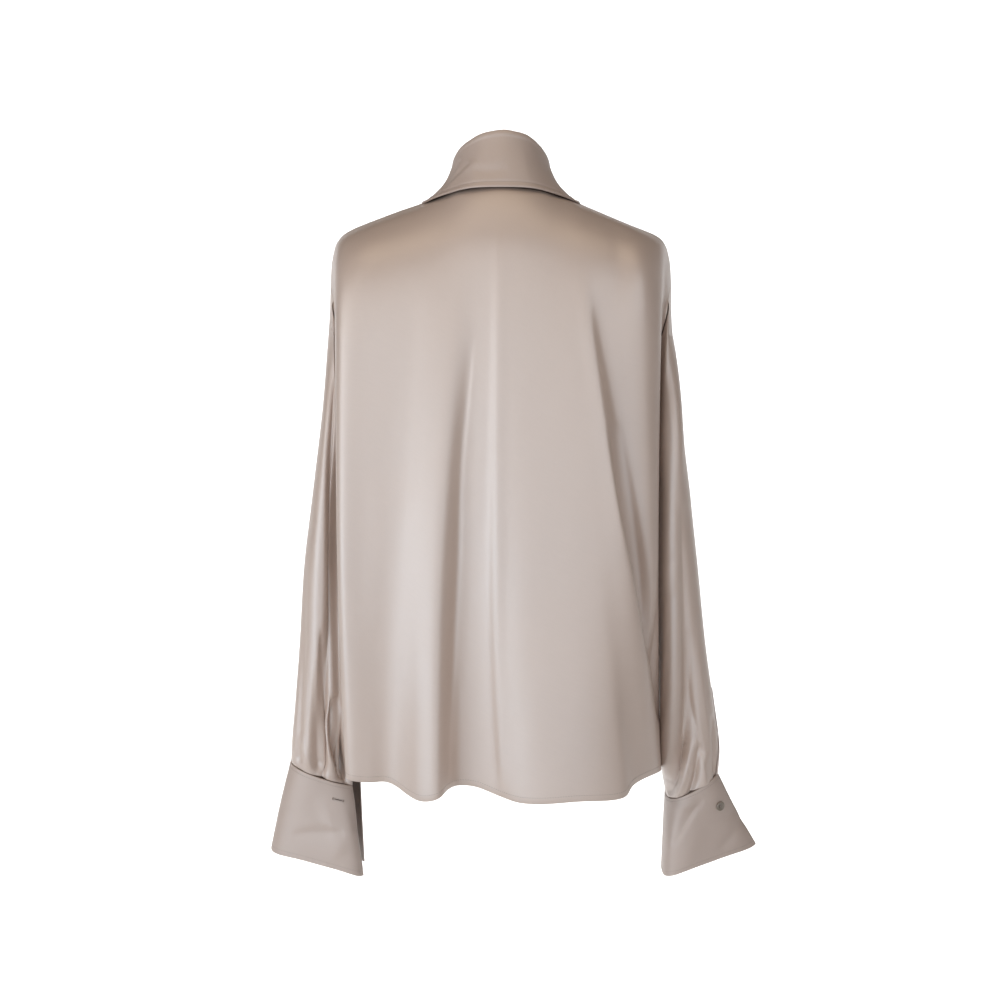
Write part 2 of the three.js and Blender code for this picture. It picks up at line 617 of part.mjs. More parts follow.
for (const name of ["left", "right"]) {
  const sleeve = sleeveSurface(name, sleeveSections[name]);
  const slitRow = SLEEVE_ROWS.findIndex((place) => place > SLIT[name].from - 0.1);
  const sleeveGrid = gridOf(sleeve, SLEEVE_SHARES, SLEEVE_ROWS);
  const present = (j, i) => i < SLEEVE_CELLS - 1 || j < slitRow;
  add(`sleeve_${name}`, wall(sleeveGrid, -CLOTH / 2, CLOTH / 2, { round: true, present }), SATIN);

  const bindingShares = [1 - BINDING_WIDTH, 1, 0, BINDING_WIDTH];
  const bindingRows = [SLEEVE_ROWS[slitRow] - 0.2, ...SLEEVE_ROWS.slice(slitRow)];
  const bindingGrid = gridOf(sleeve, bindingShares, bindingRows);
  const faces = [CLOTH / 2 + GAP, CLOTH / 2 + GAP + BINDING_CLOTH].map((distance) => distance * side(name));
  const across = (j, i) => i !== 1 || j === 0;
  add(`binding_${name}`, wall(bindingGrid, ...faces, { present: across }), SATIN);

  const cuff = cuffSurface(name, cuffSections[name]);
  const cuffGrid = gridOf(cuff, steps(0, 1, CUFF_COLUMNS), steps(0, 2, 4));
  add(`cuff_${name}`, wall(cuffGrid, -CUFF_CLOTH / 2, CUFF_CLOTH / 2), SATIN_FIRM);

  const inside = sleeve(0.5, 7).lerp(sleeve(0, 7), 0.5).setZ(cuff(0.5, 1).z);
  const along = BUTTON_PLACES.cuffIn / cuff(0, 1).distanceTo(cuff(0.1, 1)) / 10;
  const place = pointAndNormal(cuff, along, 2 * BUTTON_PLACES.cuffDown, inside);
  button(`button_cuff_${name}`, place.point, place.normal, CUFF_CLOTH / 2);
}

// The collar.
add("collar_stand", wall(gridOf(standSurface, steps(0, 1, 38), steps(0, 1, 2)), -COLLAR_CLOTH / 2, COLLAR_CLOTH / 2), SATIN_FIRM);
const LEAF_ROWS = [0, 1, 2, 3, 3.5, 4, 4.5, 5];
add("collar_leaf", wall(gridOf(leafSurface, steps(0, 1, 40), LEAF_ROWS), -COLLAR_CLOTH / 2, COLLAR_CLOTH / 2), SATIN_FIRM);

// The buttons down the front and on the stand.
const middle = new THREE.Vector3(0, 0, -300);
const centreStation = FRONT_FOLDS.findIndex((row) => row.fold === "centre front");
const frontSurface = surfaceThrough(frontNets.right);
const centreLine = steps(0, HEM_LEVEL, 600).map((place) => ({ place, z: frontSurface(centreStation, place).z }));
for (let i = 0; i < BUTTON_PLACES.count; i++) {
  const z = BUTTON_PLACES.first + i * BUTTON_PLACES.step;
  const { place } = centreLine.find((row) => row.z <= z);
  const at = pointAndNormal(frontSurface, centreStation, place, middle.clone().setZ(z));
  button(`button_front_${i + 1}`, at.point, at.normal, CLOTH / 2);
}
const standShare = (radians(BUTTON_PLACES.stand) + STAND_END) / (2 * STAND_END);
const onStand = pointAndNormal(standSurface, standShare, BUTTON_PLACES.standUp, middle.setZ(0));
button("button_collar", onStand.point, onStand.normal, COLLAR_CLOTH / 2);

export default blouse;
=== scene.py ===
"""A long-sleeved satin blouse in its worn, filled-out form, dressed for a studio picture.

Lengths in the tables are millimetres. +X is the wearer's right, +Y the wearer's front, +Z up, and the
origin lies between the two shoulders at the height of the shoulder line beside the neck.
"""

import logging
import math
from collections.abc import Callable, Sequence
from dataclasses import dataclass, field, replace
from enum import Enum
from typing import NamedTuple

import bmesh
import bpy
import numpy as np
from mathutils import Matrix, Vector


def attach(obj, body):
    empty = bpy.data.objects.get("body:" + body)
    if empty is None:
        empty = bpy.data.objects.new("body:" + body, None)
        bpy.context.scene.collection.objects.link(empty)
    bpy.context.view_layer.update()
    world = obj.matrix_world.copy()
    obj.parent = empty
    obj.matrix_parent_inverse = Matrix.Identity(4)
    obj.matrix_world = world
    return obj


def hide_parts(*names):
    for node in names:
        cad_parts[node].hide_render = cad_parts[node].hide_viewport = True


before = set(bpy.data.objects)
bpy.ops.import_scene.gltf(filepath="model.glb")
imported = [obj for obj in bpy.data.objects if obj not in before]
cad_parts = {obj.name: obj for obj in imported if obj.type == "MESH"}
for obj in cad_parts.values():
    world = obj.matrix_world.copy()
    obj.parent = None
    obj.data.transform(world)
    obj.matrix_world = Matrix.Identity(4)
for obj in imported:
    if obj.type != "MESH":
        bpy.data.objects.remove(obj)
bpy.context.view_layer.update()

LOG = logging.getLogger("blouse")
MM = 0.001
TINY = 1e-9
EVENING_PULL = 0.25
WELD = 1e-6

Colour = tuple[float, float, float]
Socket = bpy.types.NodeSocket


class Side(Enum):
    """The wearer's two sides, as the sign of X."""

    LEFT = -1
    RIGHT = 1

    @property
    def word(self) -> str:
        """The side's name in the names of pieces."""
        return self.name.lower()


class Hold(Enum):
    """How a sheet of cloth is held."""

    HUNG = "hung"
    FOLDED = "folded"


def ramp(value: np.ndarray, start: float, end: float) -> np.ndarray:
    """Rise smoothly from 0 at a start to 1 at an end."""
    share = np.clip((np.asarray(value, float) - start) / (end - start), 0, 1)
    return share * share * (3 - 2 * share)


def mix(first: np.ndarray, second: np.ndarray, share: np.ndarray) -> np.ndarray:
    """Go from a first value to a second one by a share."""
    return first + (second - first) * share


def smooth_line(points: np.ndarray, places: np.ndarray) -> np.ndarray:
    """Read smooth lines that pass through points.

    Args:
        points: The points of some lines, point by line by coordinate.
        places: Where the lines are read, in whole points from their start.

    Returns:
        The points read, place by line by coordinate.
    """
    last = len(points) - 1
    held = np.concatenate([2 * points[:1] - points[1:2], points, 2 * points[-1:] - points[-2:-1]])
    places = np.clip(places, 0, last)
    start = np.clip(np.floor(places).astype(int), 0, last - 1)
    share = (places - start)[:, None, None]
    p0, p1, p2, p3 = (held[start + step] for step in range(4))

    def root(a: np.ndarray, b: np.ndarray) -> np.ndarray:
        """The square root of the distance between points."""
        return np.maximum(np.sum((b - a) ** 2, axis=-1, keepdims=True) ** 0.25, 1e-4)

    d0, d1, d2 = root(p0, p1), root(p1, p2), root(p2, p3)
    t1 = ((p1 - p0) / d0 - (p2 - p0) / (d0 + d1) + (p2 - p1) / d1) * d1
    t2 = ((p2 - p1) / d1 - (p3 - p1) / (d1 + d2) + (p3 - p2) / d2) * d1
    bend = 3 * (p2 - p1) - 2 * t1 - t2
    twist = 2 * (p1 - p2) + t1 + t2
    return p1 + share * (t1 + share * (bend + share * twist))


def surface(net: np.ndarray, across: np.ndarray, down: np.ndarray) -> np.ndarray:
    """Read a smooth surface through a net of points.

    Args:
        net: The net, row by column by coordinate.
        across: Where its columns are read, in whole columns.
        down: Where its rows are read, in whole rows.

    Returns:
        A grid of points, down by across by coordinate.
    """
    rows = smooth_line(net.transpose(1, 0, 2), across).transpose(1, 0, 2)
    return smooth_line(rows, down)


def unit(vectors: np.ndarray) -> np.ndarray:
    """The vectors at a length of 1."""
    return vectors / np.maximum(np.linalg.norm(vectors, axis=-1, keepdims=True), TINY)


def normals_of(grid: np.ndarray) -> np.ndarray:
    """Unit normals of a grid of points, along across times down."""
    return unit(np.cross(np.gradient(grid, axis=1), np.gradient(grid, axis=0)))


def outward_of(grid: np.ndarray) -> float:
    """1 where the normals in a sheet's middle point out of the blouse, and -1 where they point in."""
    row, column = len(grid) // 2, grid.shape[1] // 2
    return -1.0 if normals_of(grid)[row, column, 1] * grid[row, column, 1] < 0 else 1.0


def smoothed(grid: np.ndarray, across: int, down: int, top: float = 0, level: float = -1) -> np.ndarray:
    """Even a grid out by averaging neighbours, its edges kept.

    Args:
        grid: The points.
        across: How often each point is averaged with those beside it.
        down: How often it is averaged with those above and below it.
        top: The height above which nothing is averaged downwards.
        level: The height below which all is.

    Returns:
        The evened points.
    """
    grid = grid.copy()
    for _ in range(across):
        grid[:, 1:-1] += EVENING_PULL * (grid[:, 2:] + grid[:, :-2] - 2 * grid[:, 1:-1])
    share = EVENING_PULL * ramp(-grid[1:-1, :, 2:], -top, -level)
    for _ in range(down):
        grid[1:-1] += share * (grid[2:] + grid[:-2] - 2 * grid[1:-1])
    return grid


def run_of(points: np.ndarray) -> np.ndarray:
    """Distances along a broken line, from 0 at its start."""
    steps = np.linalg.norm(np.diff(points, axis=0), axis=-1)
    return np.concatenate([[0.0], np.cumsum(steps)])


@dataclass(frozen=True)
class BodySizes:
    """The levels and widths that the body is cut and hung by.

    The blade is the level at which the cloth comes off the shoulder, and the tuck is the cloth that is
    drawn in beside the underarm. Pairs named from_to are where a change starts and where it is complete.
    """

    waist_z: float = -400
    hem_z: float = -634
    hem_lift: float = 3
    hem_lift_from_to: tuple[float, float] = (130, 165)
    blade_back_z: float = -95
    blade_front_z: float = -108
    blade_drop: float = 27
    blade_drop_from_to: tuple[float, float] = (150, 188)
    underarm: tuple[float, float] = (152, -225)
    underarm_share: float = 0.42
    tuck: tuple[float, float] = (155.5, 21)
    shoulder_forward: float = 5
    shoulder_forward_from_to: tuple[float, float] = (60, 180)
    neck_half: float = 57
    neck_back: float = 64
    neck_front: float = 62
    neck_z: tuple[float, float, float] = (14, 9, -31)
    bust: tuple[float, float, float] = (74, 48, 9)
    overlap: float = 14
    layer: float = 0.9
    layer_flat: float = 20
    seam: float = 0.06


class ShoulderRow(NamedTuple):
    """A point of the shoulder line: its place across and its height on each side."""

    x: float
    z_left: float
    z_right: float


class FoldRow(NamedTuple):
    """A line down the cloth: its start, its places at the blade, waist and hem, and its extra length."""

    name: str
    x_top: float
    x_blade: float
    y_blade: float
    x_waist: float
    y_waist: float
    x_hem: float
    y_hem: float
    swing: float = 0
    drop: float = 0


class RingRow(NamedTuple):
    """A section of a sleeve or cuff: its outermost and innermost points, half depth and squareness."""

    x_outer: float
    z_outer: float
    x_inner: float
    z_inner: float
    depth: float
    square: float = 0


class TubeFold(NamedTuple):
    """A fold down a sleeve, in degrees round it from its outer side over its back."""

    angle_top: float
    angle_cuff: float
    width: float
    start: float
    full: float
    depth: float


class LeafRow(NamedTuple):
    """A point of the collar leaf's free edge, and how the leaf bows and lifts above it."""

    angle: float
    x: float
    y: float
    z: float
    bow: float
    lift: float


SHOULDER_LINE = [
    ShoulderRow(57, 9, 9),
    ShoulderRow(83, -5, -5),
    ShoulderRow(111, -14, -16.5),
    ShoulderRow(143.5, -26, -30),
    ShoulderRow(165.5, -34.5, -38),
    ShoulderRow(175.5, -41, -43),
    ShoulderRow(182.5, -51.5, -53),
    ShoulderRow(186.5, -71, -72),
    ShoulderRow(188, -96, -96),
]

BACK_FOLDS = [
    FoldRow("side seam left", -188, -180, -46, -148, 0, -151, 0),
    FoldRow("tuck left", -187.4, -179.6, -50, -151, -22, -153, -24),
    FoldRow("turn left", -186, -177.5, -58, -168, -62, -164, -52),
    FoldRow("edge left", -183, -175, -86, -175.8, -99, -170.3, -86, drop=-3.8),
    FoldRow("flank left", -176, -168.5, -101.5, -170, -109.5, -163, -95.5, drop=-2.8),
    FoldRow("panel left", -150, -140, -105, -150, -109, -142, -95, drop=-2.8),
    FoldRow("dip left", -122, -113, -108, -125, -109.5, -127, -92, drop=-4.1),
    FoldRow("foot of ridge 1", -97, -90, -110, -108, -113, -115, -96, drop=-0.6),
    FoldRow("ridge 1 left", -76, -74, -112.5, -95, -118, -101, -107, drop=6.6),
    FoldRow("ridge 1", -57, -60, -114, -81, -123.5, -86, -121, drop=9.7),
    FoldRow("ridge 1 right", -49, -46, -115, -65, -127, -67, -128, drop=4.7),
    FoldRow("wall of ridge 1", -41, -36, -115.5, -54, -119, -56.5, -113, drop=-1.9),
    FoldRow("valley", -30, -26, -116, -44, -111, -46, -99, drop=-1.9),
    FoldRow("valley right", -17, -14, -117.5, -25, -114, -27, -102, drop=-1.3),
    FoldRow("rise of ridge 2", -3, -2, -119, -9, -119, -5, -112, drop=5),
    FoldRow("ridge 2", 13, 12, -120, 10, -126, 19, -128, drop=8.8),
    FoldRow("plateau", 31, 30, -119.5, 34, -130.5, 48, -138, drop=6.9),
    FoldRow("plateau right", 46, 47, -118.5, 70, -132, 84, -140, drop=3.1),
    FoldRow("fold 3", 57, 64, -117.5, 99, -131, 133, -127, drop=4),
    FoldRow("under fold 3", 66, 74, -117, 117, -129, 142, -110, drop=-5.5),
    FoldRow("fold 4", 76, 86, -117.5, 140, -124, 173, -79, drop=-10.5),
    FoldRow("under fold 4", 86, 94, -114.5, 150.5, -91, 177.5, -56, drop=-6.5),
    FoldRow("panel right", 108, 114, -111.5, 158.5, -88.5, 179.3, -37, drop=-2.5),
    FoldRow("flank right", 150, 148, -105, 165.5, -85, 180, -22),
    FoldRow("edge right", 178, 168, -86, 171, -68, 180.3, -11),
    FoldRow("turn right", 185, 172, -63, 163, -42, 178.5, 4),
    FoldRow("tuck right", 187.4, 177, -51, 152, -18, 172, 20),
    FoldRow("side seam right", 188, 179, -46, 149, 4, 158, 40),
]

# The right front, from its side seam to its overlap; the left front mirrors it without the swing.
FRONT_FOLDS = [
    FoldRow("side seam", 188, 179, 47, 148, 0, 151, 0, 40),
    FoldRow("tuck", 187.4, 179, 51, 151, 22, 153, 24, 32),
    FoldRow("turn", 186, 177, 59, 165, 48, 162, 54, 16),
    FoldRow("edge", 182.5, 171, 73, 173, 74, 168, 84, 3),
    FoldRow("flank", 172, 158, 87, 162, 92, 156, 104),
    FoldRow("dip", 140, 128, 96, 134, 100, 134, 98),
    FoldRow("ridge outer", 104, 98, 101, 108, 117, 112, 134),
    FoldRow("ridge inner", 76, 72, 104, 82, 124, 88, 146),
    FoldRow("valley", 57, 50, 105, 56, 117, 62, 122),
    FoldRow("rise", 42, 36, 105, 34, 124, 38, 128),
    FoldRow("front", 25, 20, 106, 18, 130.5, 18, 145),
    FoldRow("centre front", 0, 0, 106, 0, 131, 0, 146),
    FoldRow("overlap", -14, -14, 106, -14, 131, -14, 145.8),
]
FRONT_SWING_WAIST = 0.1
FRONT_SWING_OUT = 0.175

SLEEVE_RINGS = {
    Side.LEFT: [
        RingRow(-190, -150, -168, -240, 50),
        RingRow(-196, -225, -167, -264, 56, 0.25),
        RingRow(-207, -311, -167, -326, 58, 0.3),
        RingRow(-219, -401, -165, -407, 58, 0.35),
        RingRow(-226, -493, -164, -498, 54, 0.35),
        RingRow(-232.5, -563, -163, -572, 48, 0.35),
        RingRow(-237.5, -610, -162, -629, 42, 0.3),
        RingRow(-239, -631, -159.5, -657, 37, 0.2),
    ],
    Side.RIGHT: [
        RingRow(189, -150, 168, -240, 50),
        RingRow(196, -225, 168, -264, 56, 0.25),
        RingRow(208, -311, 170, -326, 58, 0.3),
        RingRow(219, -401, 172, -407, 58, 0.35),
        RingRow(229.5, -493, 176.5, -500, 55, 0.35),
        RingRow(240, -563, 180, -578, 50, 0.35),
        RingRow(247, -612, 183.5, -640, 45, 0.3),
        RingRow(247.5, -639, 189, -672, 42, 0.2),
    ],
}

SLEEVE_FOLDS = {
    Side.LEFT: [
        TubeFold(112, 116, 30, 1, 4, 9),  # the long back fold
        TubeFold(40, 48, 26, 3, 6, 4),  # a hollow on the outer side
        TubeFold(84, 82, 12, 5, 7, 9),  # two pleats at the back of the cuff
        TubeFold(128, 124, 13, 5.4, 7, 10),
        TubeFold(250, 245, 30, 1, 5, 7),  # a hollow at the front
        TubeFold(285, 280, 14, 5, 7, 8),  # two pleats at its front
        TubeFold(320, 322, 16, 4, 7, 7),
    ],
    Side.RIGHT: [
        TubeFold(62, 58, 46, 1.5, 5, 2.5),  # the long back fold
        TubeFold(250, 245, 30, 1, 5, 7),  # a hollow at the front
        TubeFold(278, 275, 14, 5, 7, 8),  # two pleats at its front
        TubeFold(215, 212, 16, 4, 7, 7),
    ],
}

CUFF_RINGS = {
    Side.LEFT: [
        RingRow(-239, -631.6, -159.5, -657.6, 37, 0.2),
        RingRow(-252.5, -684, -157.5, -707.5, 36, 0.45),
        RingRow(-264, -736.5, -155, -758.5, 35, 0.5),
    ],
    Side.RIGHT: [
        RingRow(247.5, -639.6, 189, -672.6, 42, 0.2),
        RingRow(271, -687, 186.5, -715, 40, 0.4),
        RingRow(297, -731, 184.5, -759, 38, 0.4),
    ],
}

LEAF_EDGE = [
    LeafRow(0, 0, -83.6, 8, 3, 0),
    LeafRow(25, 30, -78.9, 7.2, 2, 0),
    LeafRow(48, 54, -62.5, 3.2, -1, 0),
    LeafRow(68, 72.5, -40, -0.2, -4, 0),
    LeafRow(86, 82.5, -18, -3.2, -6, 0),
    LeafRow(102, 86, 4, -3, -5, 1),
    LeafRow(118, 87, 32, -8, 0, 4),
    LeafRow(135, 82, 60, -19.5, 0, 9),
    LeafRow(152, 68, 88, -39.5, 2, 13.5),
    LeafRow(168, 50, 105, -72, 2, 18),
]

# How the leaf turns over the stand: its reach out and its height beside the line of the turn.
LEAF_TURN = [(0, 2.1), (3.8, 3.0), (6.2, -0.1), (6.8, -4)]

# How far the collar's top stands above a smooth line, at places across its back.
COLLAR_CREST = [
    (-40, 0), (-31, -0.9), (-20, 0.1), (-8, 0.2), (4, 1.1), (14, 0.8), (26, 1.6), (31, 0.9), (40, 0),
]


@dataclass(frozen=True)
class Slit:
    """The slit above a cuff, in degrees round the sleeve, and how wide the open cuff stands."""

    angle: float
    edge_angle: float
    open: float
    edge_open: float
    closed: float = 4
    start: float = 6.05


SLITS = {Side.LEFT: Slit(172, 186, 70, 44), Side.RIGHT: Slit(-6, -6, 68, 68)}


class Crease(NamedTuple):
    """A soft trough or ridge along a line of (x, z) places, as it is seen from behind or in front.

    A run-out other than 1 makes it wider or narrower on the side of larger x.
    """

    path: Sequence[tuple[float, float]]
    width: float
    height: float
    behind: bool = True
    run_out: float = 1


# How fast a crease fades towards its ends, and how far the cloth faces the side it is seen from.
CREASE_TAPER = 0.6
CREASE_FACING = (-0.05, 0.25)


@dataclass(frozen=True)
class Cut:
    """The flat size that a sheet was cut to, in metres, and its area where it isn't a rectangle."""

    width: float
    length: float
    area: float


class Nodes:
    """Adds and links the nodes of a material, a node group or the world."""

    def __init__(self, tree: bpy.types.NodeTree) -> None:
        """Keep the tree to add to."""
        self.tree = tree

    def add(self, kind: str, inputs: dict[str | int, object] | None = None,
            **settings: object) -> bpy.types.Node:
        """Add a node.

        Args:
            kind: The node's type without its prefix.
            inputs: Values or other nodes' outputs for its inputs, by their names or indices.
            settings: Its properties.

        Returns:
            The new node.
        """
        node = self.tree.nodes.new(kind if kind.startswith("Node") else "ShaderNode" + kind)
        for name, value in settings.items():
            setattr(node, name, value)
        for name, value in (inputs or {}).items():
            self.feed(node.inputs[name], value)
        return node

    def feed(self, socket: Socket, value: object) -> None:
        """Set an input to a value, or join another node's output to it."""
        if isinstance(value, Socket):
            self.tree.links.new(value, socket)
        else:
            socket.default_value = value

    def math(self, operation: str, first: object, second: object) -> Socket:
        """Add a math node and return its output; each value is a socket or a number."""
        return self.add("Math", {0: first, 1: second}, operation=operation).outputs[0]

    def blend(self, share: Socket, deep: Colour, pale: Colour) -> Socket:
        """Add a mix of a deep and a pale colour and return its output."""
        return self.add("Mix", {0: share, 6: (*deep, 1), 7: (*pale, 1)}, data_type="RGBA").outputs[2]


@dataclass(frozen=True)
class Weave:
    """The satin's surface: fine slanting threads, long slubs and slow unevenness."""

    slant: float = math.radians(58)
    sway: float = 1.6
    bands_per_scale: float = 0.314
    slub_scale: tuple[float, float, float] = (900, 60, 1)
    slow_scale: float = 9
    slub_share: float = 0.55
    slow_share: float = 0.5

    def group(self) -> bpy.types.ShaderNodeTree:
        """Build the node group once and return it; the cloth's own coordinates in metres go in."""
        name = "satin weave"
        if name in bpy.data.node_groups:
            return bpy.data.node_groups[name]
        tree = bpy.data.node_groups.new(name, "ShaderNodeTree")
        for label, kind in (("Cloth", "NodeSocketVector"), ("Thread Spacing", "NodeSocketFloat")):
            tree.interface.new_socket(label, in_out="INPUT", socket_type=kind)
        for label in ("Shade", "Rough", "Height"):
            tree.interface.new_socket(label, in_out="OUTPUT", socket_type="NodeSocketFloat")
        nodes = Nodes(tree)
        inlet, outlet = nodes.add("NodeGroupInput"), nodes.add("NodeGroupOutput")
        cloth, spacing = inlet.outputs["Cloth"], inlet.outputs["Thread Spacing"]
        turned = nodes.add("Mapping", {"Vector": cloth, "Rotation": (0, 0, self.slant)}, vector_type="POINT")
        scale = nodes.math("DIVIDE", self.bands_per_scale, spacing)
        slanted = turned.outputs[0]
        wave = {"Vector": slanted, "Scale": scale, "Distortion": self.sway, "Detail": 2, "Detail Scale": 1.5}
        threads = nodes.add("TexWave", wave, wave_type="BANDS", bands_direction="X")
        long = nodes.add("Mapping", {"Vector": slanted, "Scale": self.slub_scale}, vector_type="POINT")
        slubs = nodes.add("TexNoise", {"Vector": long.outputs[0], "Scale": 1, "Detail": 3})
        slow = nodes.add("TexNoise", {"Vector": cloth, "Scale": self.slow_scale, "Detail": 3})
        grain = nodes.math("ADD", nodes.math("MULTIPLY", threads.outputs["Fac"], 1 - self.slub_share),
                           nodes.math("MULTIPLY", slubs.outputs["Fac"], self.slub_share))
        shade = nodes.math("ADD", nodes.math("MULTIPLY", grain, 1 - self.slow_share),
                           nodes.math("MULTIPLY", slow.outputs["Fac"], self.slow_share))
        for label, value in (("Shade", shade), ("Rough", slow.outputs["Fac"]), ("Height", grain)):
            nodes.feed(outlet.inputs[label], value)
        return tree


@dataclass(frozen=True, kw_only=True)
class Finish:
    """A surface that varies between a deep and a pale colour, with a fine relief."""

    name: str
    deep: Colour
    pale: Colour
    relief: float
    relief_depth: float = 0.0002

    def material(self) -> bpy.types.Material:
        """Build the material once and return it."""
        if self.name in bpy.data.materials:
            return bpy.data.materials[self.name]
        material = bpy.data.materials.new(self.name)
        material.use_nodes = True
        nodes = Nodes(material.node_tree)
        shader = material.node_tree.nodes["Principled BSDF"]
        share, height = self.pattern(nodes, shader)
        nodes.feed(shader.inputs["Base Color"], nodes.blend(share, self.deep, self.pale))
        bump = nodes.add("Bump", {"Strength": self.relief, "Distance": self.relief_depth, "Height": height})
        nodes.feed(shader.inputs["Normal"], bump.outputs["Normal"])
        return material

    def pattern(self, nodes: Nodes, shader: bpy.types.Node) -> tuple[Socket, Socket]:
        """Set the shader's other values and add the nodes that vary over the surface.

        Args:
            nodes: The material's nodes.
            shader: Its shader.

        Returns:
            The share of the pale colour and the relief's height.
        """
        raise NotImplementedError


@dataclass(frozen=True, kw_only=True)
class Satin(Finish):
    """A smooth satin with a soft sheen: deep between its threads, pale along them."""

    name: str = "light satin"
    deep: Colour = (0.42, 0.318, 0.262)
    pale: Colour = (0.53, 0.403, 0.334)
    relief: float = 0.26
    rough: tuple[float, float] = (0.40, 0.45)
    thread: float = 0.0009
    level: float = 0.8
    bend: float = 1.9
    # How far the wrong side's colour is darkened: painted shade for insides that lie in shadow; its roughness
    # and level make it duller.
    inside_painted_shade: float = 0.55
    wrong_rough: tuple[float, float] = (0.55, 0.62)
    wrong_level: float = 0.25
    slow_span: tuple[float, float] = (0.3, 0.7)

    def wrong_side(self) -> "Satin":
        """The cloth's wrong side: duller and rougher, with its colour darkened as painted shade for the
        shadowed insides of the pieces.
        """
        deep, pale = (tuple(self.inside_painted_shade * part for part in colour) for colour in (self.deep, self.pale))
        return replace(self, name=f"{self.name} wrong side", deep=deep, pale=pale,
                       rough=self.wrong_rough, level=self.wrong_level)

    def pattern(self, nodes: Nodes, shader: bpy.types.Node) -> tuple[Socket, Socket]:
        """Weave the cloth along its own coordinates, rougher in some places than in others."""
        nodes.feed(shader.inputs["IOR"], self.bend)
        nodes.feed(shader.inputs["Specular IOR Level"], self.level)
        cloth = nodes.add("UVMap", uv_map="cloth")
        weave = nodes.add("Group", node_tree=Weave().group())
        nodes.feed(weave.inputs["Thread Spacing"], self.thread)
        nodes.feed(weave.inputs["Cloth"], cloth.outputs["UV"])
        rough = nodes.add("MapRange", {
            "Value": weave.outputs["Rough"], "From Min": self.slow_span[0], "From Max": self.slow_span[1],
            "To Min": self.rough[0], "To Max": self.rough[1],
        })
        nodes.feed(shader.inputs["Roughness"], rough.outputs["Result"])
        return weave.outputs["Shade"], weave.outputs["Height"]


@dataclass(frozen=True, kw_only=True)
class Plain(Finish):
    """A finish in one slowly varying colour: a button's shell, a sewing thread, the studio floor."""

    rough: float
    scale: float
    coat: float = 0.0
    relief: float = 0.1

    def pattern(self, nodes: Nodes, shader: bpy.types.Node) -> tuple[Socket, Socket]:
        """Let a soft noise vary the surface."""
        nodes.feed(shader.inputs["Roughness"], self.rough)
        nodes.feed(shader.inputs["Coat Weight"], self.coat)
        place = nodes.add("TexCoord")
        noise = nodes.add("TexNoise", {"Vector": place.outputs["Object"], "Scale": self.scale, "Detail": 3})
        return noise.outputs["Fac"], noise.outputs["Fac"]


SATIN = Satin()
# The stiffened satin of the cuffs and collar: rougher and less glossy, and its colour darkened from the light
# satin as painted shade.
FIRM_SHADED_SATIN = Satin(name="stiffened satin with painted shade", deep=(0.38, 0.289, 0.242), pale=(0.46, 0.352, 0.297),
                   rough=(0.52, 0.58), level=0.6)
SHELL = Plain(name="button shell", deep=(0.13, 0.10, 0.075), pale=(0.30, 0.25, 0.20),
              rough=0.22, scale=260, coat=0.35)
THREAD = Plain(name="sewing thread", deep=(0.20, 0.15, 0.125), pale=(0.30, 0.235, 0.20), rough=0.6, scale=900)
# A near-black colour laid in buttonhole cuts as painted shade.
SLIT_PAINTED_SHADE = Plain(name="painted shade in the cut", deep=(0.05, 0.036, 0.03), pale=(0.08, 0.06, 0.05), rough=0.8, scale=900)
FLOOR = Plain(name="pale floor", deep=(0.86, 0.86, 0.86), pale=(0.9, 0.9, 0.9),
              rough=0.9, scale=0.6, relief=0.0)


def new_object(name: str, bm: bmesh.types.BMesh) -> bpy.types.Object:
    """Turn a finished mesh into a smooth object of the scene."""
    mesh = bpy.data.meshes.new(name)
    bm.to_mesh(mesh)
    bm.free()
    mesh.shade_smooth()
    obj = bpy.data.objects.new(name, mesh)
    bpy.context.scene.collection.objects.link(obj)
    return obj


def add_bead(bm: bmesh.types.BMesh, place: Matrix, size: Sequence[float], finer: int = 1) -> None:
    """Add a rounded bead in its place, with its half sizes along, beside and out."""
    shape = place @ Matrix.Diagonal((*size, 1))
    bmesh.ops.create_icosphere(bm, subdivisions=finer, radius=1, matrix=shape)


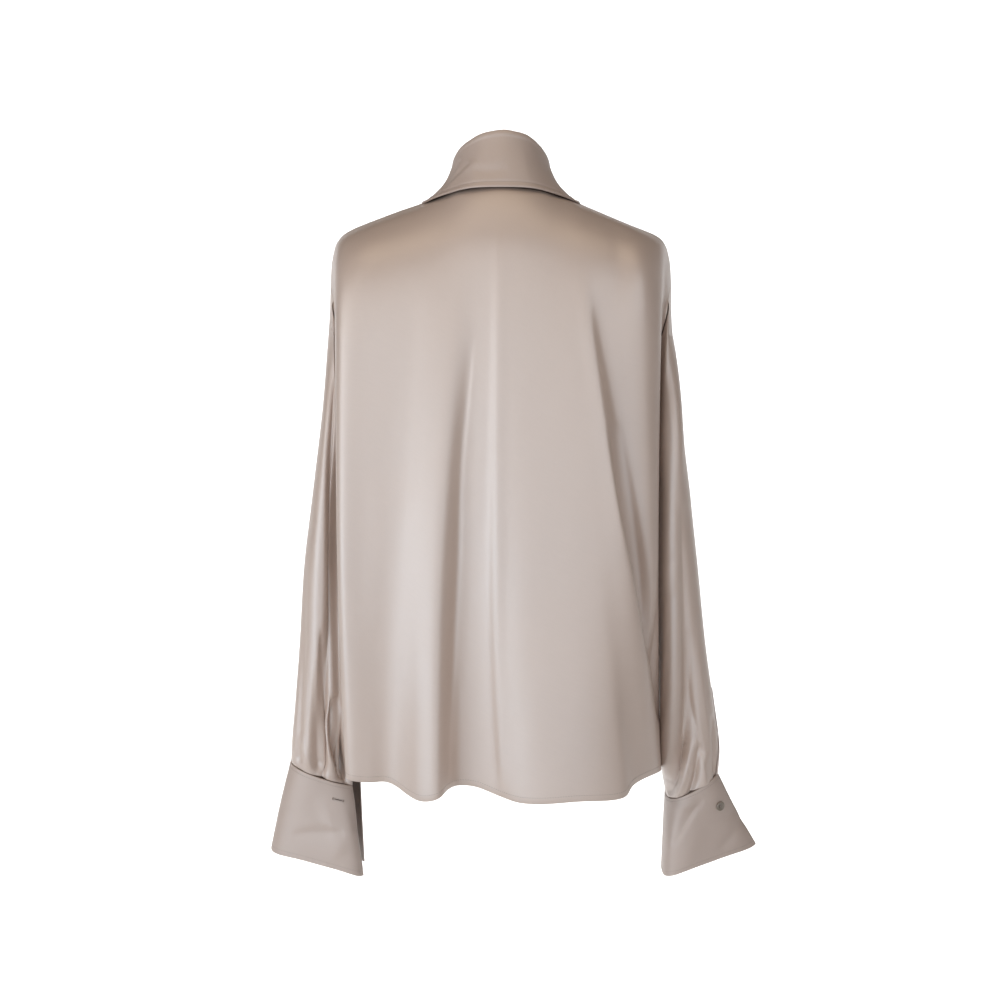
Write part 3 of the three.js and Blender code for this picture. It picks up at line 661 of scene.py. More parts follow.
@dataclass
class Cloth:
    """A sheet of cloth: a grid of points through its middle, in millimetres."""

    name: str
    grid: np.ndarray
    thickness: float
    closed: bool = False
    outward: float = 1.0
    absent: Callable[[int, int], bool] | None = None

    def push(self, amount: np.ndarray) -> None:
        """Move the points out along the cloth's normals by an amount each."""
        self.grid = self.grid + self.outward * normals_of(self.grid) * amount[..., None]

    def lay(self, creases: Sequence[Crease], steps: int = 8) -> None:
        """Lay creases over the cloth.

        Args:
            creases: Soft troughs and ridges along lines that are seen from behind or in front.
            steps: How many straight steps each part of such a line is read in.
        """
        facing = self.outward * normals_of(self.grid)[..., 1]
        flat = self.grid[..., (0, 2)]
        total = np.zeros(flat.shape[:2])
        for crease in creases:
            corners = np.array(crease.path, float)[:, None, :]
            count = steps * (len(crease.path) - 1)
            line = smooth_line(corners, np.linspace(0, len(crease.path) - 1, count + 1))[:, 0]
            nearest = np.full(total.shape, np.inf)
            along = np.zeros(total.shape)
            width = np.full(total.shape, crease.width)
            for step in range(count):
                start, span = line[step], line[step + 1] - line[step]
                share = np.clip((flat - start) @ span / max(span @ span, TINY), 0, 1)
                away = np.linalg.norm(flat - start - share[..., None] * span, axis=-1)
                closer = away < nearest
                nearest = np.where(closer, away, nearest)
                along = np.where(closer, (step + share) / count, along)
                beyond = span[0] * (flat[..., 1] - start[1]) - span[1] * (flat[..., 0] - start[0]) > 0
                width = np.where(closer, crease.width * np.where(beyond, crease.run_out, 1), width)
            taper = np.clip(4 * along * (1 - along), 0, 1) ** CREASE_TAPER
            faces = ramp(-facing if crease.behind else facing, *CREASE_FACING)
            total += crease.height * taper * faces * np.exp(-((nearest / width) ** 2))
        self.push(total)

    def area(self) -> float:
        """The cloth's own area in square metres."""
        grid = self.grid * MM
        first = np.cross(grid[1:, 1:] - grid[:-1, :-1], grid[1:, :-1] - grid[:-1, 1:])
        return float(np.linalg.norm(first, axis=-1).sum() / 2)

    def shape(self) -> bpy.types.Object:
        """Make the sheet's object: a grid bent to the points, with the cloth's own coordinates."""
        rows, columns = self.grid.shape[:2]
        across = run_of(self.grid[rows // 2]) * MM
        down = run_of(self.grid[:, columns // 2]) * MM
        bm = bmesh.new()
        cloth = bm.loops.layers.uv.new("cloth")
        bmesh.ops.create_grid(bm, x_segments=columns - 1, y_segments=rows - 1, size=0.5)
        for vert, place in zip(bm.verts, (self.grid.reshape(-1, 3) * MM).tolist()):
            vert.co = place
        bm.verts.index_update()
        for face in bm.faces:
            for loop in face.loops:
                row, column = divmod(loop.vert.index, columns)
                loop[cloth].uv = (across[column], down[row])
        if self.absent is not None:
            gone = [face for face in bm.faces if self.absent(*self._cell(face, columns))]
            bmesh.ops.delete(bm, geom=gone, context="FACES")
        if self.closed:
            bmesh.ops.remove_doubles(bm, verts=bm.verts, dist=WELD)
        if self.outward < 0:
            bmesh.ops.reverse_faces(bm, faces=bm.faces)
        obj = new_object(self.name, bm)
        wall = obj.modifiers.new("cloth wall", "SOLIDIFY")
        wall.thickness = self.thickness * MM
        wall.offset = 0
        # The inner shell takes the second material: the duller wrong side, its colour darkened as painted
        # shade.
        wall.material_offset = 1
        wall.use_even_offset = False
        return obj

    @staticmethod
    def _cell(face: bmesh.types.BMFace, columns: int) -> tuple[int, int]:
        """The row and column of a face's cell."""
        places = [divmod(vert.index, columns) for vert in face.verts]
        return min(place[0] for place in places), min(place[1] for place in places)


def dress(piece: bpy.types.Object, node: str, finish: Satin | Plain) -> None:
    """Give a piece its finish, hang it from the root and hide the frame's node that it replaces.

    Args:
        piece: The finished object.
        node: The frame's node that it replaces.
        finish: How its surface looks.
    """
    piece.data.materials.append(finish.material())
    # Satin pieces also get their wrong side, darkened as painted shade.
    if isinstance(finish, Satin):
        piece.data.materials.append(finish.wrong_side().material())
    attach(piece, "root")
    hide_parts(node)


def carry(piece: bpy.types.Object, finish: Satin | Plain) -> None:
    """Give a small sewn piece its finish and let it ride with the blouse."""
    piece.data.materials.append(finish.material())
    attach(piece, "root")


def sew(cloth: Cloth, rests_on: list[str], edge: float = 0.0) -> None:
    """Make a sheet of cloth into its dressed piece.

    Args:
        cloth: The sheet, which has its node's name.
        rests_on: The pieces that it lies on; not used.
        edge: How far the edges of a stiffened piece are rounded; 0 for the soft ones.
    """
    LOG.info("%s: area %.4f m2, lower edge %.3f m, length %.3f m", cloth.name, cloth.area(),
             run_of(cloth.grid[-1])[-1] * MM, run_of(cloth.grid[:, cloth.grid.shape[1] // 2])[-1] * MM)
    piece = cloth.shape()
    if edge:
        soften = piece.modifiers.new("rounded edge", "BEVEL")
        soften.width = edge * MM
        soften.segments = 2
        soften.limit_method = "ANGLE"
        # Stiffened pieces take the darker satin, whose darkness is painted shade.
        dress(piece, cloth.name, FIRM_SHADED_SATIN)
    else:
        dress(piece, cloth.name, SATIN)


@dataclass
class Stitching:
    """Rows of stitches, each one a small rounded thread half sunk in the cloth."""

    name: str
    length: float = 2.1
    step: float = 2.8
    radius: float = 0.2
    proud: float = 0.35
    lines: list[tuple[np.ndarray, np.ndarray]] = field(default_factory=list)

    def add(self, cloth: Cloth, rows: int | slice, columns: int | slice) -> None:
        """Add a row of stitches along some points of a cloth, on its outer face."""
        out = cloth.outward * normals_of(cloth.grid)[rows, columns]
        self.lines.append((cloth.grid[rows, columns] + out * cloth.thickness / 2, out))

    def build(self) -> None:
        """Make all the rows one object."""
        bm = bmesh.new()
        for points, outwards in self.lines:
            run = run_of(points)
            for start in np.arange(self.step / 2, run[-1] - self.length, self.step):
                ends = [self._read(points, run, place) for place in (start, start + self.length)]
                out = self._read(outwards, run, start + self.length / 2).normalized()
                self._stitch(bm, *ends, out)
        carry(new_object(self.name, bm), THREAD)

    @staticmethod
    def _read(values: np.ndarray, run: np.ndarray, place: float) -> Vector:
        """The point or direction at a distance along a row."""
        return Vector([np.interp(place, run, part) for part in values.T])

    def _stitch(self, bm: bmesh.types.BMesh, start: Vector, end: Vector, out: Vector) -> None:
        """Make one stitch between two points."""
        along = (end - start).normalized()
        beside = along.cross(out).normalized()
        turn = Matrix((along, beside, along.cross(beside))).transposed().to_4x4()
        place = Matrix.Translation((start + end) / 2 + out * self.radius * self.proud)
        add_bead(bm, Matrix.Scale(MM, 4) @ place @ turn, ((end - start).length / 2, self.radius, self.radius))


@dataclass
class Body:
    """The back and the two lapped fronts, hung from the shoulders."""

    sizes: BodySizes = BodySizes()
    columns_per_fold: int = 9
    rows: tuple[int, ...] = (10, 8, 10, 22, 26, 40)
    cloth: float = 0.55
    underarm_row: int = 4
    evened: tuple[int, int] = (10, 300)
    evened_from_to: tuple[float, float] = (-40, -190)
    seam_reach: float = 2
    seam_ease: float = 1.5
    yoke_evened: int = 160
    yoke_half: tuple[float, float] = (105, 150)
    yoke_start: tuple[float, float] = (2, 18)
    yoke_end: tuple[float, float] = (70, 150)
    hem_width: float = 7.5
    hem_groove: float = 1.4
    hem_draw: float = 0.8
    uneven_from_to: tuple[float, float] = (60, 260)
    long_wave: float = 0.16
    short_wave: float = 0.07
    grids: dict[str, np.ndarray] = field(default_factory=dict)
    nets: dict[str, np.ndarray] = field(default_factory=dict)

    def neckline(self, angle: np.ndarray) -> np.ndarray:
        """The seam where the body meets the collar stand, round from the centre back."""
        size = self.sizes
        across, along = np.sin(angle), np.cos(angle)
        behind = along > 0
        fall = (np.abs(along) + 1 - np.abs(across)) / 2
        z_back, z_side, z_front = size.neck_z
        y = -along * np.where(behind, size.neck_back, size.neck_front)
        z = mix(z_side, np.where(behind, z_back, z_front), fall)
        return np.stack([across * size.neck_half, y, z], axis=-1)

    def top_edge(self, x: np.ndarray, front: bool) -> np.ndarray:
        """Top edge of a panel: the shoulder seam, or the neckline between its two ends."""
        x = np.asarray(x, float)
        size = self.sizes
        seam = size.seam * (1 if front else -1)
        far = np.abs(x)
        at = [row.x for row in SHOULDER_LINE]
        left = np.interp(far, at, [row.z_left for row in SHOULDER_LINE])
        right = np.interp(far, at, [row.z_right for row in SHOULDER_LINE])
        forward = size.shoulder_forward * ramp(far, *size.shoulder_forward_from_to)
        shoulder = np.stack([x, forward, np.where(x < 0, left, right)], axis=-1)
        angle = np.arcsin(np.clip(x / size.neck_half, -1, 1))
        neck = self.neckline(np.pi - angle if front else angle)
        edge = np.where((far >= size.neck_half)[..., None], shoulder, neck)
        return edge + np.array([0, seam, 0])

    def layer_shift(self, x: np.ndarray, layer: float) -> np.ndarray:
        """How far a layer of the fronts lies forward and up near the centre."""
        near = layer * (1 - ramp(np.abs(x), self.sizes.layer_flat, self.sizes.neck_half))
        return np.stack([0 * near, near, near], axis=-1)

    def fold_points(self, row: FoldRow, front: bool, layer: float) -> np.ndarray:
        """Points down one fold line: over the shoulder, then blade, underarm, waist and hem."""
        size = self.sizes
        sign = -1 if row.x_top < 0 else 1
        wide = float(ramp(abs(row.x_top), *size.blade_drop_from_to))
        level = size.blade_front_z if front else size.blade_back_z
        side_level = size.blade_back_z - size.blade_drop
        blade = np.array([row.x_blade, row.y_blade, mix(level, side_level, wide)])
        waist = np.array([row.x_waist, row.y_waist, size.waist_z])
        lift = size.hem_lift * float(ramp(-row.x_hem, *size.hem_lift_from_to))
        hem = np.array([row.x_hem, row.y_hem, size.hem_z + lift - row.drop])
        under = mix(blade, waist, size.underarm_share)
        under[2] = size.underarm[1]
        bust_x, spread, bust_lift = size.bust
        facing = 1 if front else -1
        if front:
            under[1] += bust_lift * math.exp(-(((abs(under[0]) - bust_x) / spread) ** 2))
        if row.name.startswith("side seam"):
            under = np.array([sign * size.underarm[0], 0, size.underarm[1]])
        if row.name.startswith("tuck"):
            under = np.array([sign * size.tuck[0], facing * size.tuck[1], size.underarm[1]])
        top = self.top_edge(np.array(row.x_top), front)
        over = [np.array([math.sin(turn), math.sin(turn), 1 - math.cos(turn)])
                for turn in (0, math.pi / 6, math.pi / 3)]
        points = [mix(top, blade, share) for share in over]
        points += [blade, under, waist, hem]
        if row.name.startswith("side seam"):
            for point in points[self.underarm_row:]:
                point[1] += facing * size.seam
        return np.array(points) + self.layer_shift(np.array(row.x_top), layer)

    def panel(self, name: str, folds: Sequence[FoldRow], front: bool, layer: float) -> np.ndarray:
        """A panel's grid of points, from its top edge to its hem.

        Args:
            name: The panel's name.
            folds: Its fold lines, from its first side edge to its last.
            front: Whether it is a front.
            layer: How far its middle stands forward.

        Returns:
            The grid, row by column by coordinate.
        """
        net = np.array([self.fold_points(row, front, layer) for row in folds]).transpose(1, 0, 2)
        self.nets[name] = net
        last = net.shape[1] - 1
        across = np.linspace(0, last, last * self.columns_per_fold + 1)
        down = np.concatenate([[0.0]] + [np.linspace(i, i + 1, n + 1)[1:] for i, n in enumerate(self.rows)])
        grid = surface(net, across, down)
        true_top = self.top_edge(grid[0, :, 0], front) + self.layer_shift(grid[0, :, 0], layer)
        fade = np.clip(1 - down, 0, 1) ** 2
        grid += fade[:, None, None] * (true_top - grid[0])
        start, full = self.evened_from_to
        grid = smoothed(grid, *self.evened, top=start, level=full)
        half = self.underarm_row
        seams = [(0, across)] if front else [(0, across), (-1, last - across)]
        for column, away in seams:
            edge = net[:, column][:, None]
            above = smooth_line(edge[:half + 1], down[down <= half])[:, 0]
            below = smooth_line(edge[half:], down[down > half] - half)[:, 0]
            shift = np.concatenate([above, below]) - grid[:, column]
            near = np.clip(1 - away / self.seam_reach, 0, 1) ** self.seam_ease
            grid += near[None, :, None] * shift[:, None, :]
        x, z = grid[..., 0], grid[..., 2]
        yoke = (1 - ramp(np.abs(x), *self.yoke_half)) * (1 - ramp(-z, *self.yoke_end))
        yoke = yoke * ramp(grid[:1, :, 2] - z, *self.yoke_start)
        return mix(grid, smoothed(grid, self.yoke_evened, 0), yoke[..., None])

    def front_folds(self, side: Side) -> list[FoldRow]:
        """The fold lines of one front."""
        rows = []
        for row in FRONT_FOLDS:
            swing = row.swing if side is Side.RIGHT else 0
            rows.append(FoldRow(
                row.name, side.value * row.x_top, side.value * row.x_blade, row.y_blade,
                side.value * row.x_waist, row.y_waist + swing * FRONT_SWING_WAIST,
                side.value * (row.x_hem + swing * FRONT_SWING_OUT), row.y_hem + swing,
            ))
        return rows

    def lay_out(self) -> None:
        """Work out the grids of the three panels."""
        layer = self.sizes.layer
        self.grids["back"] = self.panel("back", BACK_FOLDS, False, 0)
        self.grids["front_left"] = self.panel("front_left", self.front_folds(Side.LEFT), True, -layer)
        self.grids["front_right"] = self.panel("front_right", self.front_folds(Side.RIGHT), True, layer)

    def armhole(self, side: Side, places: np.ndarray) -> np.ndarray:
        """Points round an armhole: 0 at its top, over the back to 1 below, over the front to 2."""
        corners = self.underarm_row + 1
        levels = [0, 1, 2, 2.5, 3, 3.25, 3.5, 3.75, 4]
        places = np.mod(places, 2)
        share = np.where(places <= 1, places, 2 - places)
        level = np.interp(share, np.linspace(0, 1, len(levels)), levels)
        column = 0 if side is Side.LEFT else -1
        back = smooth_line(self.nets["back"][:corners, column][:, None], level)[:, 0]
        front = smooth_line(self.nets[f"front_{side.word}"][:corners, 0][:, None], level)[:, 0]
        return np.where((places <= 1)[:, None], back, front)

    def finish_panel(self, name: str, creases: Sequence[Crease], stitches: Stitching) -> None:
        """Crease, hem and dress one panel.

        Args:
            name: The panel's name, also its node's.
            creases: The creases laid over it.
            stitches: Where its hem's stitches go.
        """
        grid = self.grids[name]
        cloth = Cloth(name, grid, self.cloth, outward=outward_of(grid))
        cloth.lay(creases)
        cloth.push(self.unevenness(cloth.grid))
        height = run_of(cloth.grid[:, cloth.grid.shape[1] // 2])
        above = height[-1] - height
        run = run_of(cloth.grid[-1])
        groove = np.exp(-(((above - self.hem_width) / self.hem_groove) ** 2))[:, None]
        pucker = 0.75 + 0.25 * np.sin(run * 0.71 + 1.5 * np.sin(run * 0.13))[None, :]
        cloth.push(-self.hem_draw * groove * pucker)
        stitches.add(cloth, int(np.argmin(np.abs(above - self.hem_width))), slice(None))
        cloth.grid = np.concatenate([cloth.grid, self.turned_hem(cloth)])
        sew(cloth, ["collar_stand"])

    def turned_hem(self, cloth: Cloth) -> np.ndarray:
        """Rows of points that turn the lower edge in and up behind the cloth."""
        edge = cloth.grid[-1]
        down = unit(edge - cloth.grid[-2])
        inwards = -cloth.outward * normals_of(cloth.grid)[-1]
        turn = [(0.35, 0.15), (0.5, 0.5), (0.35, 0.85), (0, 1.0),
                (-2.5, 1.05), (-5.0, 1.05), (-self.hem_width, 0.95)]
        return np.array([edge + fall * down + deep * inwards for fall, deep in turn])

    def unevenness(self, grid: np.ndarray) -> np.ndarray:
        """Slow, shallow waves that no hung cloth is without."""
        x, z = grid[..., 0], grid[..., 2]
        fade = ramp(-z, *self.uneven_from_to)
        long = np.sin(x * 0.071 + 1.3 * np.sin(z * 0.0083)) * np.sin(z * 0.011 + x * 0.013)
        short = np.sin(x * 0.16 - z * 0.009 + 2.1) * np.sin(z * 0.023 + 0.7)
        return (self.long_wave * long + self.short_wave * short) * fade


def ring_points(rings: Sequence[RingRow], degrees: np.ndarray) -> np.ndarray:
    """Points of each section at angles that may differ from section to section.

    Args:
        rings: The sections down a tube.
        degrees: Angles round it, from its outer side over its back.

    Returns:
        Points, section by angle by coordinate.
    """
    turn = np.radians(degrees)
    points = []
    for ring in rings:
        across, behind = (np.sign(part) * np.abs(part) ** (1 - ring.square)
                          for part in (np.cos(turn), np.sin(turn)))
        out = (1 + across) / 2
        x, z = mix(ring.x_inner, ring.x_outer, out), mix(ring.z_inner, ring.z_outer, out)
        points.append(np.stack([x, -ring.depth * behind, z], axis=-1))
    return np.array(points)


@dataclass
class Sleeve:
    """One sleeve from its armhole to its cuff, with its folds, pleats and slit."""

    side: Side
    body: Body
    columns: int = 232
    rows: int = 186
    cloth: float = 0.5
    away: float = 0.2
    beside: float = 1.3
    beside_from_to: tuple[float, float] = (0.24, 0.42)
    pressed: float = 0.75
    pressed_from: float = 0.7
    last: int = 8
    tucked: float = 0.015
    slit_cell: float = 1 / 32
    slit_columns: int = 5
    slit_from: float = 0.1
    opening_from: float = 0.4
    opening_ease: float = 1.3
    fold_drift: float = 4
    crowded: float = 2.2
    fine_steps: int = 2001
    binding_from: float = 0.3
    binding_fork: float = 0.08
    binding_share: float = 0.032
    binding_rows: int = 40
    binding_columns: int = 7
    binding_out: float = 0.9
    binding_cloth: float = 0.8

    @property
    def name(self) -> str:
        """The sleeve's name, also its node's."""
        return f"sleeve_{self.side.word}"

    @property
    def slit(self) -> Slit:
        """This side's slit."""
        return SLITS[self.side]

    def width_at(self, place: np.ndarray) -> np.ndarray:
        """How wide the slit stands open, in degrees, at places down the sleeve."""
        opened = ramp(place, self.slit.start - self.opening_from, self.last) ** self.opening_ease
        return mix(self.slit.closed, self.slit.open, opened)

    def points(self, around: np.ndarray, place: np.ndarray) -> np.ndarray:
        """The sleeve's middle surface.

        Args:
            around: Shares of a full turn, from the slit's front edge.
            place: Places down the sleeve, 0 at the armhole.

        Returns:
            The grid of points, place by share by coordinate.
        """
        slit, whole = self.slit, 1 - self.slit_cell
        rings = SLEEVE_RINGS[self.side]
        hole_start = 1 if self.side is Side.LEFT else 0
        start = self.body.armhole(self.side, hole_start + 2 * around)
        low = 1 - np.abs(np.mod(hole_start + 2 * around, 2) - 1)
        grid = np.empty((len(place), len(around), 3))
        centres = np.array([(r.x_inner + r.x_outer) / 2 for r in rings])
        for row, at in enumerate(place):
            width = float(self.width_at(at))
            degrees = np.where(
                around <= whole,
                slit.angle + width / 2 + around / whole * (360 - width),
                slit.angle - width / 2 + 360 + (around - whole) / self.slit_cell * width,
            )
            points = ring_points(rings, degrees)
            first = start.copy()
            heading = points[0] - first
            first += self.away * unit(heading)
            first[:, 0] += self.side.value * self.beside * ramp(low, *self.beside_from_to)
            line = smooth_line(np.concatenate([first[None], points]), np.array([at]))[0]
            centre = np.interp(at, np.arange(1, self.last + 1), centres)
            inwards = unit(np.stack([centre - line[:, 0], -line[:, 1], 0 * line[:, 0]], axis=-1))
            sewn = 1 - self.pressed * float(ramp(at, self.last - self.pressed_from, self.last))
            grid[row] = line + inwards * (sewn * self.fold_depth(degrees, at))[:, None]
        return grid

    def fold_depth(self, degrees: np.ndarray, place: float) -> np.ndarray:
        """How far the folds draw the sleeve in at angles round it and one place down it."""
        total = np.zeros(len(degrees))
        for fold in SLEEVE_FOLDS[self.side]:
            drift = float(np.clip((place - fold.start) / self.fold_drift, 0, 1))
            angle = mix(fold.angle_top, fold.angle_cuff, drift)
            from_fold = np.mod(degrees - angle + 180, 360) - 180
            deep = fold.depth * float(ramp(place, fold.start, fold.full))
            total += deep * np.exp(-((from_fold / (fold.width / 2)) ** 2))
        return total

    def build(self, creases: Sequence[Crease], cut: Cut) -> None:
        """Make and dress the sleeve."""
        whole = 1 - self.slit_cell
        back = (0.5, 1.0) if self.side is Side.LEFT else (0.0, 0.5)
        steps = np.linspace(0, 1, self.fine_steps)
        crowding = np.where((steps >= back[0]) & (steps <= back[1]), self.crowded, 1.0)
        run = np.concatenate([[0], np.cumsum(crowding[1:])])
        around = np.interp(np.linspace(0, 1, self.columns), run / run[-1], steps) * whole
        around = np.concatenate([around, np.linspace(whole, 1, self.slit_columns)[1:]])
        place = np.linspace(0, self.last + self.tucked, self.rows)
        slit_row = int(np.searchsorted(place, self.slit.start - self.slit_from))
        edge = self.columns - 1

        def absent(row: int, column: int) -> bool:
            """Whether a cell lies in the open slit."""
            return column >= edge and row >= slit_row

        cloth = Cloth(self.name, self.points(around, place), self.cloth, closed=True,
                      outward=float(self.side.value), absent=absent)
        cloth.lay(creases)
        cloth.grid[:, -1] = cloth.grid[:, 0]
        sew(cloth, ["back", f"front_{self.side.word}"])

    def bind(self, cut: Cut) -> None:
        """Make the binding strip that goes up one edge of the slit and down the other."""
        whole = 1 - self.slit_cell
        strip, count = self.binding_share * whole, self.binding_columns
        top, fork = self.slit.start - self.binding_from, self.slit.start - self.binding_fork
        place = np.concatenate([[top], np.linspace(fork, self.last, self.binding_rows)])
        around = np.concatenate([np.linspace(whole - strip, whole, count), np.linspace(1, 1 + strip, count)])
        grid = self.points(np.mod(around, 1), place)
        grid = grid + self.side.value * normals_of(grid) * self.binding_out
        cloth = Cloth(f"binding_{self.side.word}", grid, self.binding_cloth, outward=float(self.side.value),
                      absent=lambda row, column: column == count - 1 and row > 0)
        sew(cloth, [self.name])


@dataclass
class Cuff:
    """One deep flared cuff, worn unbuttoned, with its button and its buttonhole."""

    side: Side
    cloth: float = 1.7
    columns: int = 170
    rows: int = 52
    button_in: float = 28.5
    button_down: float = 0.65
    hole_in: float = 26.5
    hole_down: float = 0.36
    edge_lift: float = 4
    lift_angle: float = 95
    lift_width: float = 38
    turn: float = 0.0
    rounded: float = 0.6
    stitch_rows: tuple[int, int] = (2, -4)
    stitch_columns: tuple[int, int] = (3, -4)
    sewn: Cloth | None = None

    def points(self, share: np.ndarray, place: np.ndarray) -> np.ndarray:
        """The cuff's middle surface: share round it from its button end, place from 0 to 2 down it."""
        slit = SLITS[self.side]
        grid = np.empty((len(place), len(share), 3))
        for row, at in enumerate(place):
            down = at / 2
            middle, width = mix(slit.angle, slit.edge_angle, down), mix(slit.open, slit.edge_open, down)
            degrees = middle + width / 2 + share * (360 - width)
            points = ring_points(CUFF_RINGS[self.side], degrees)
            grid[row] = smooth_line(points, np.array([at]))[0]
            from_back = (np.mod(degrees - self.lift_angle + 180, 360) - 180) / self.lift_width
            grid[row, :, 2] += self.edge_lift * down**2 * np.exp(-(from_back**2))
            beside = grid[row, :, 0] - grid[row, :, 0].mean()
            grid[row, :, 1] += self.turn * self.side.value * beside * min(2 * down, 1)
        return grid

    def build(self, creases: Sequence[Crease], cut: Cut, stitches: Stitching) -> None:
        """Make and dress the cuff, and stitch round its edges."""
        share = np.linspace(0, 1, self.columns)
        place = np.linspace(0, 2, self.rows)
        name = f"cuff_{self.side.word}"
        cloth = Cloth(name, self.points(share, place), self.cloth, outward=float(self.side.value))
        cloth.lay(creases)
        self.sewn = cloth
        (top, low), (first, last) = self.stitch_rows, self.stitch_columns
        for row in (low, top):
            stitches.add(cloth, row, slice(first, last + 1))
        for column in (first, last):
            stitches.add(cloth, slice(top, low + 1), column)
        sew(cloth, [f"sleeve_{self.side.word}"], edge=self.rounded)

    def at(self, share: float, place: float) -> tuple[Vector, Vector]:
        """A point on the cuff's outer face and the direction out of it."""
        across, down = np.array([share * (self.columns - 1)]), np.array([place / 2 * (self.rows - 1)])
        out = self.side.value * normals_of(self.sewn.grid)
        spot = surface(self.sewn.grid, across, down)[0, 0]
        out = Vector(surface(out, across, down)[0, 0]).normalized()
        return Vector(spot) + out * self.cloth / 2, out

    def share_of(self, length: float, place: float) -> float:
        """The share of the cuff's girth that a length is at a place down it."""
        edge = self.points(np.linspace(0, 1, 80), np.array([place]))[0]
        return length / run_of(edge)[-1]


class EdgeWave(NamedTuple):
    """A raised or sunk line beside an edge: how far above it, how wide and how high."""

    above: float
    width: float
    height: float


@dataclass
class Collar:
    """The tall collar stand and the leaf that turns down over it."""

    body: Body
    half_width: float = 46.5
    back: float = 58
    front: float = 52
    middle_z: float = 32
    rise: float = 32
    foot_lift: float = 0.7
    stand_columns: int = 190
    stand_rows: int = 18
    leaf_columns: int = 250
    roll_rows: int = 16
    fall_rows: int = 56
    edge_bead: EdgeWave = EdgeWave(1.6, 1.5, 0.7)
    stitch_groove: EdgeWave = EdgeWave(6.2, 1.2, -0.45)
    stand_bow: float = 2
    stand_cloth: float = 1.5
    leaf_cloth: float = 1.5
    layer_from_to: tuple[float, float] = (2, 2.9)
    back_flatter: float = 2.5
    back_from_to: tuple[float, float] = (30, 80)
    corner_drop: float = 2.4
    corner_from_to: tuple[float, float] = (35, 75)
    corner_end: tuple[float, float] = (105, 130)
    rounded: float = 0.5

    def roll(self, angle: np.ndarray) -> np.ndarray:
        """The line along which the leaf turns down over the stand."""
        along = np.cos(angle)
        y = -along * np.where(along > 0, self.back, self.front)
        x = np.sin(angle) * self.half_width
        crest = np.interp(x, *np.array(COLLAR_CREST).T) * (along > 0)
        return np.stack([x, y, self.middle_z + self.rise * along + crest], axis=-1)

    def layer(self, angle: np.ndarray) -> np.ndarray:
        """How far the collar stands out, so that its right end lies over its left one."""
        return self.body.sizes.layer * np.sign(angle) * ramp(np.abs(angle), *self.layer_from_to)

    @staticmethod
    def outwards(points: np.ndarray) -> np.ndarray:
        """Level directions away from the middle of the neck."""
        return unit(points * np.array([1, 1, 0]))

    def stand_points(self, angle: np.ndarray, place: np.ndarray) -> np.ndarray:
        """The stand's middle surface, place from 0 at its foot to 1 at its head."""
        foot = self.body.neckline(angle) + np.array([0, 0, self.foot_lift])
        head = self.roll(angle)
        grid = mix(foot[None], head[None], place[:, None, None])
        bow = self.layer(angle)[None] + self.stand_bow * np.sin(np.pi * place)[:, None]
        return grid + self.outwards(grid) * bow[..., None]

    def leaf_points(self, angle: np.ndarray, place: np.ndarray) -> np.ndarray:
        """The leaf's middle surface, place from 0 over the stand to 5 at its free edge."""
        top = self.roll(angle)
        out = self.outwards(top)
        edge, bow, lift = self.leaf_edge(angle)
        up = np.array([0, 0, 1.0])
        turned = [top + reach * out + height * up for reach, height in LEAF_TURN]
        half = mix(turned[-1], edge, 0.5) + out * bow[:, None] + up * lift[:, None]
        net = np.array([*turned, half, edge])
        layer = self.layer(angle)[None] * (1 - place / len(net))[:, None]
        return smooth_line(net, place) + layer[..., None] * out[None]

    def leaf_edge(self, angle: np.ndarray) -> tuple[np.ndarray, np.ndarray, np.ndarray]:
        """The leaf's free edge at signed angles, with its bow and lift."""
        degrees = np.degrees(np.abs(angle))
        at = [row.angle for row in LEAF_EDGE]
        place = np.interp(degrees, at, np.arange(len(at)))
        rows = np.array([[row.x, row.y, row.z] for row in LEAF_EDGE], float)
        mirrored = rows[1] * np.array([-1, 1, 1])
        edge = smooth_line(np.concatenate([mirrored[None], rows])[:, None], place + 1)[:, 0]
        edge[:, 0] *= np.where(angle < 0, -1, 1)
        bow = np.interp(degrees, at, [row.bow for row in LEAF_EDGE])
        bow -= self.back_flatter * (1 - ramp(degrees, *self.back_from_to))
        corner = ramp(degrees, *self.corner_from_to) * (1 - ramp(degrees, *self.corner_end))
        edge[:, 2] -= self.corner_drop * corner
        lift = np.interp(degrees, at, [row.lift for row in LEAF_EDGE])
        return edge, bow, lift

    def build(self, creases: Sequence[Crease], cuts: Sequence[Cut], stitches: Stitching) -> None:
        """Make and dress the stand and the leaf."""
        end = math.pi + self.body.sizes.overlap / self.body.sizes.neck_half
        angle = np.linspace(-end, end, self.stand_columns)
        points = self.stand_points(angle, np.linspace(0, 1, self.stand_rows))
        stand = Cloth("collar_stand", points, self.stand_cloth, outward=outward_of(points))
        sew(stand, ["back", "front_left", "front_right"], edge=self.rounded)
        leaf_end = math.radians(LEAF_EDGE[-1].angle)
        angle = np.linspace(-leaf_end, leaf_end, self.leaf_columns)
        place = np.concatenate([np.linspace(0, 3, self.roll_rows), np.linspace(3, 5, self.fall_rows)[1:]])
        points = self.leaf_points(angle, place)
        leaf = Cloth("collar_leaf", points, self.leaf_cloth, outward=outward_of(points))
        leaf.lay(creases)
        height = run_of(leaf.grid[:, self.leaf_columns // 2])
        above = (height[-1] - height)[:, None]
        bead, groove = (part.height * np.exp(-(((above - part.above) / part.width) ** 2))
                        for part in (self.edge_bead, self.stitch_groove))
        leaf.push((bead + groove) * np.ones((1, len(angle))))
        stitches.add(leaf, int(np.argmin(np.abs(above[:, 0] - self.stitch_groove.above))), slice(4, -4))
        sew(leaf, ["collar_stand"], edge=self.rounded)


# A button's rim from its face round to its back, in shares of its radius and thickness.
BUTTON_RIM = [
    (0.68, 0.62), (0.7344, 0.95), (0.9, 1), (0.985, 0.8), (1, 0.5), (0.93, 0.14), (0.8, 0), (0.68, 0),
]


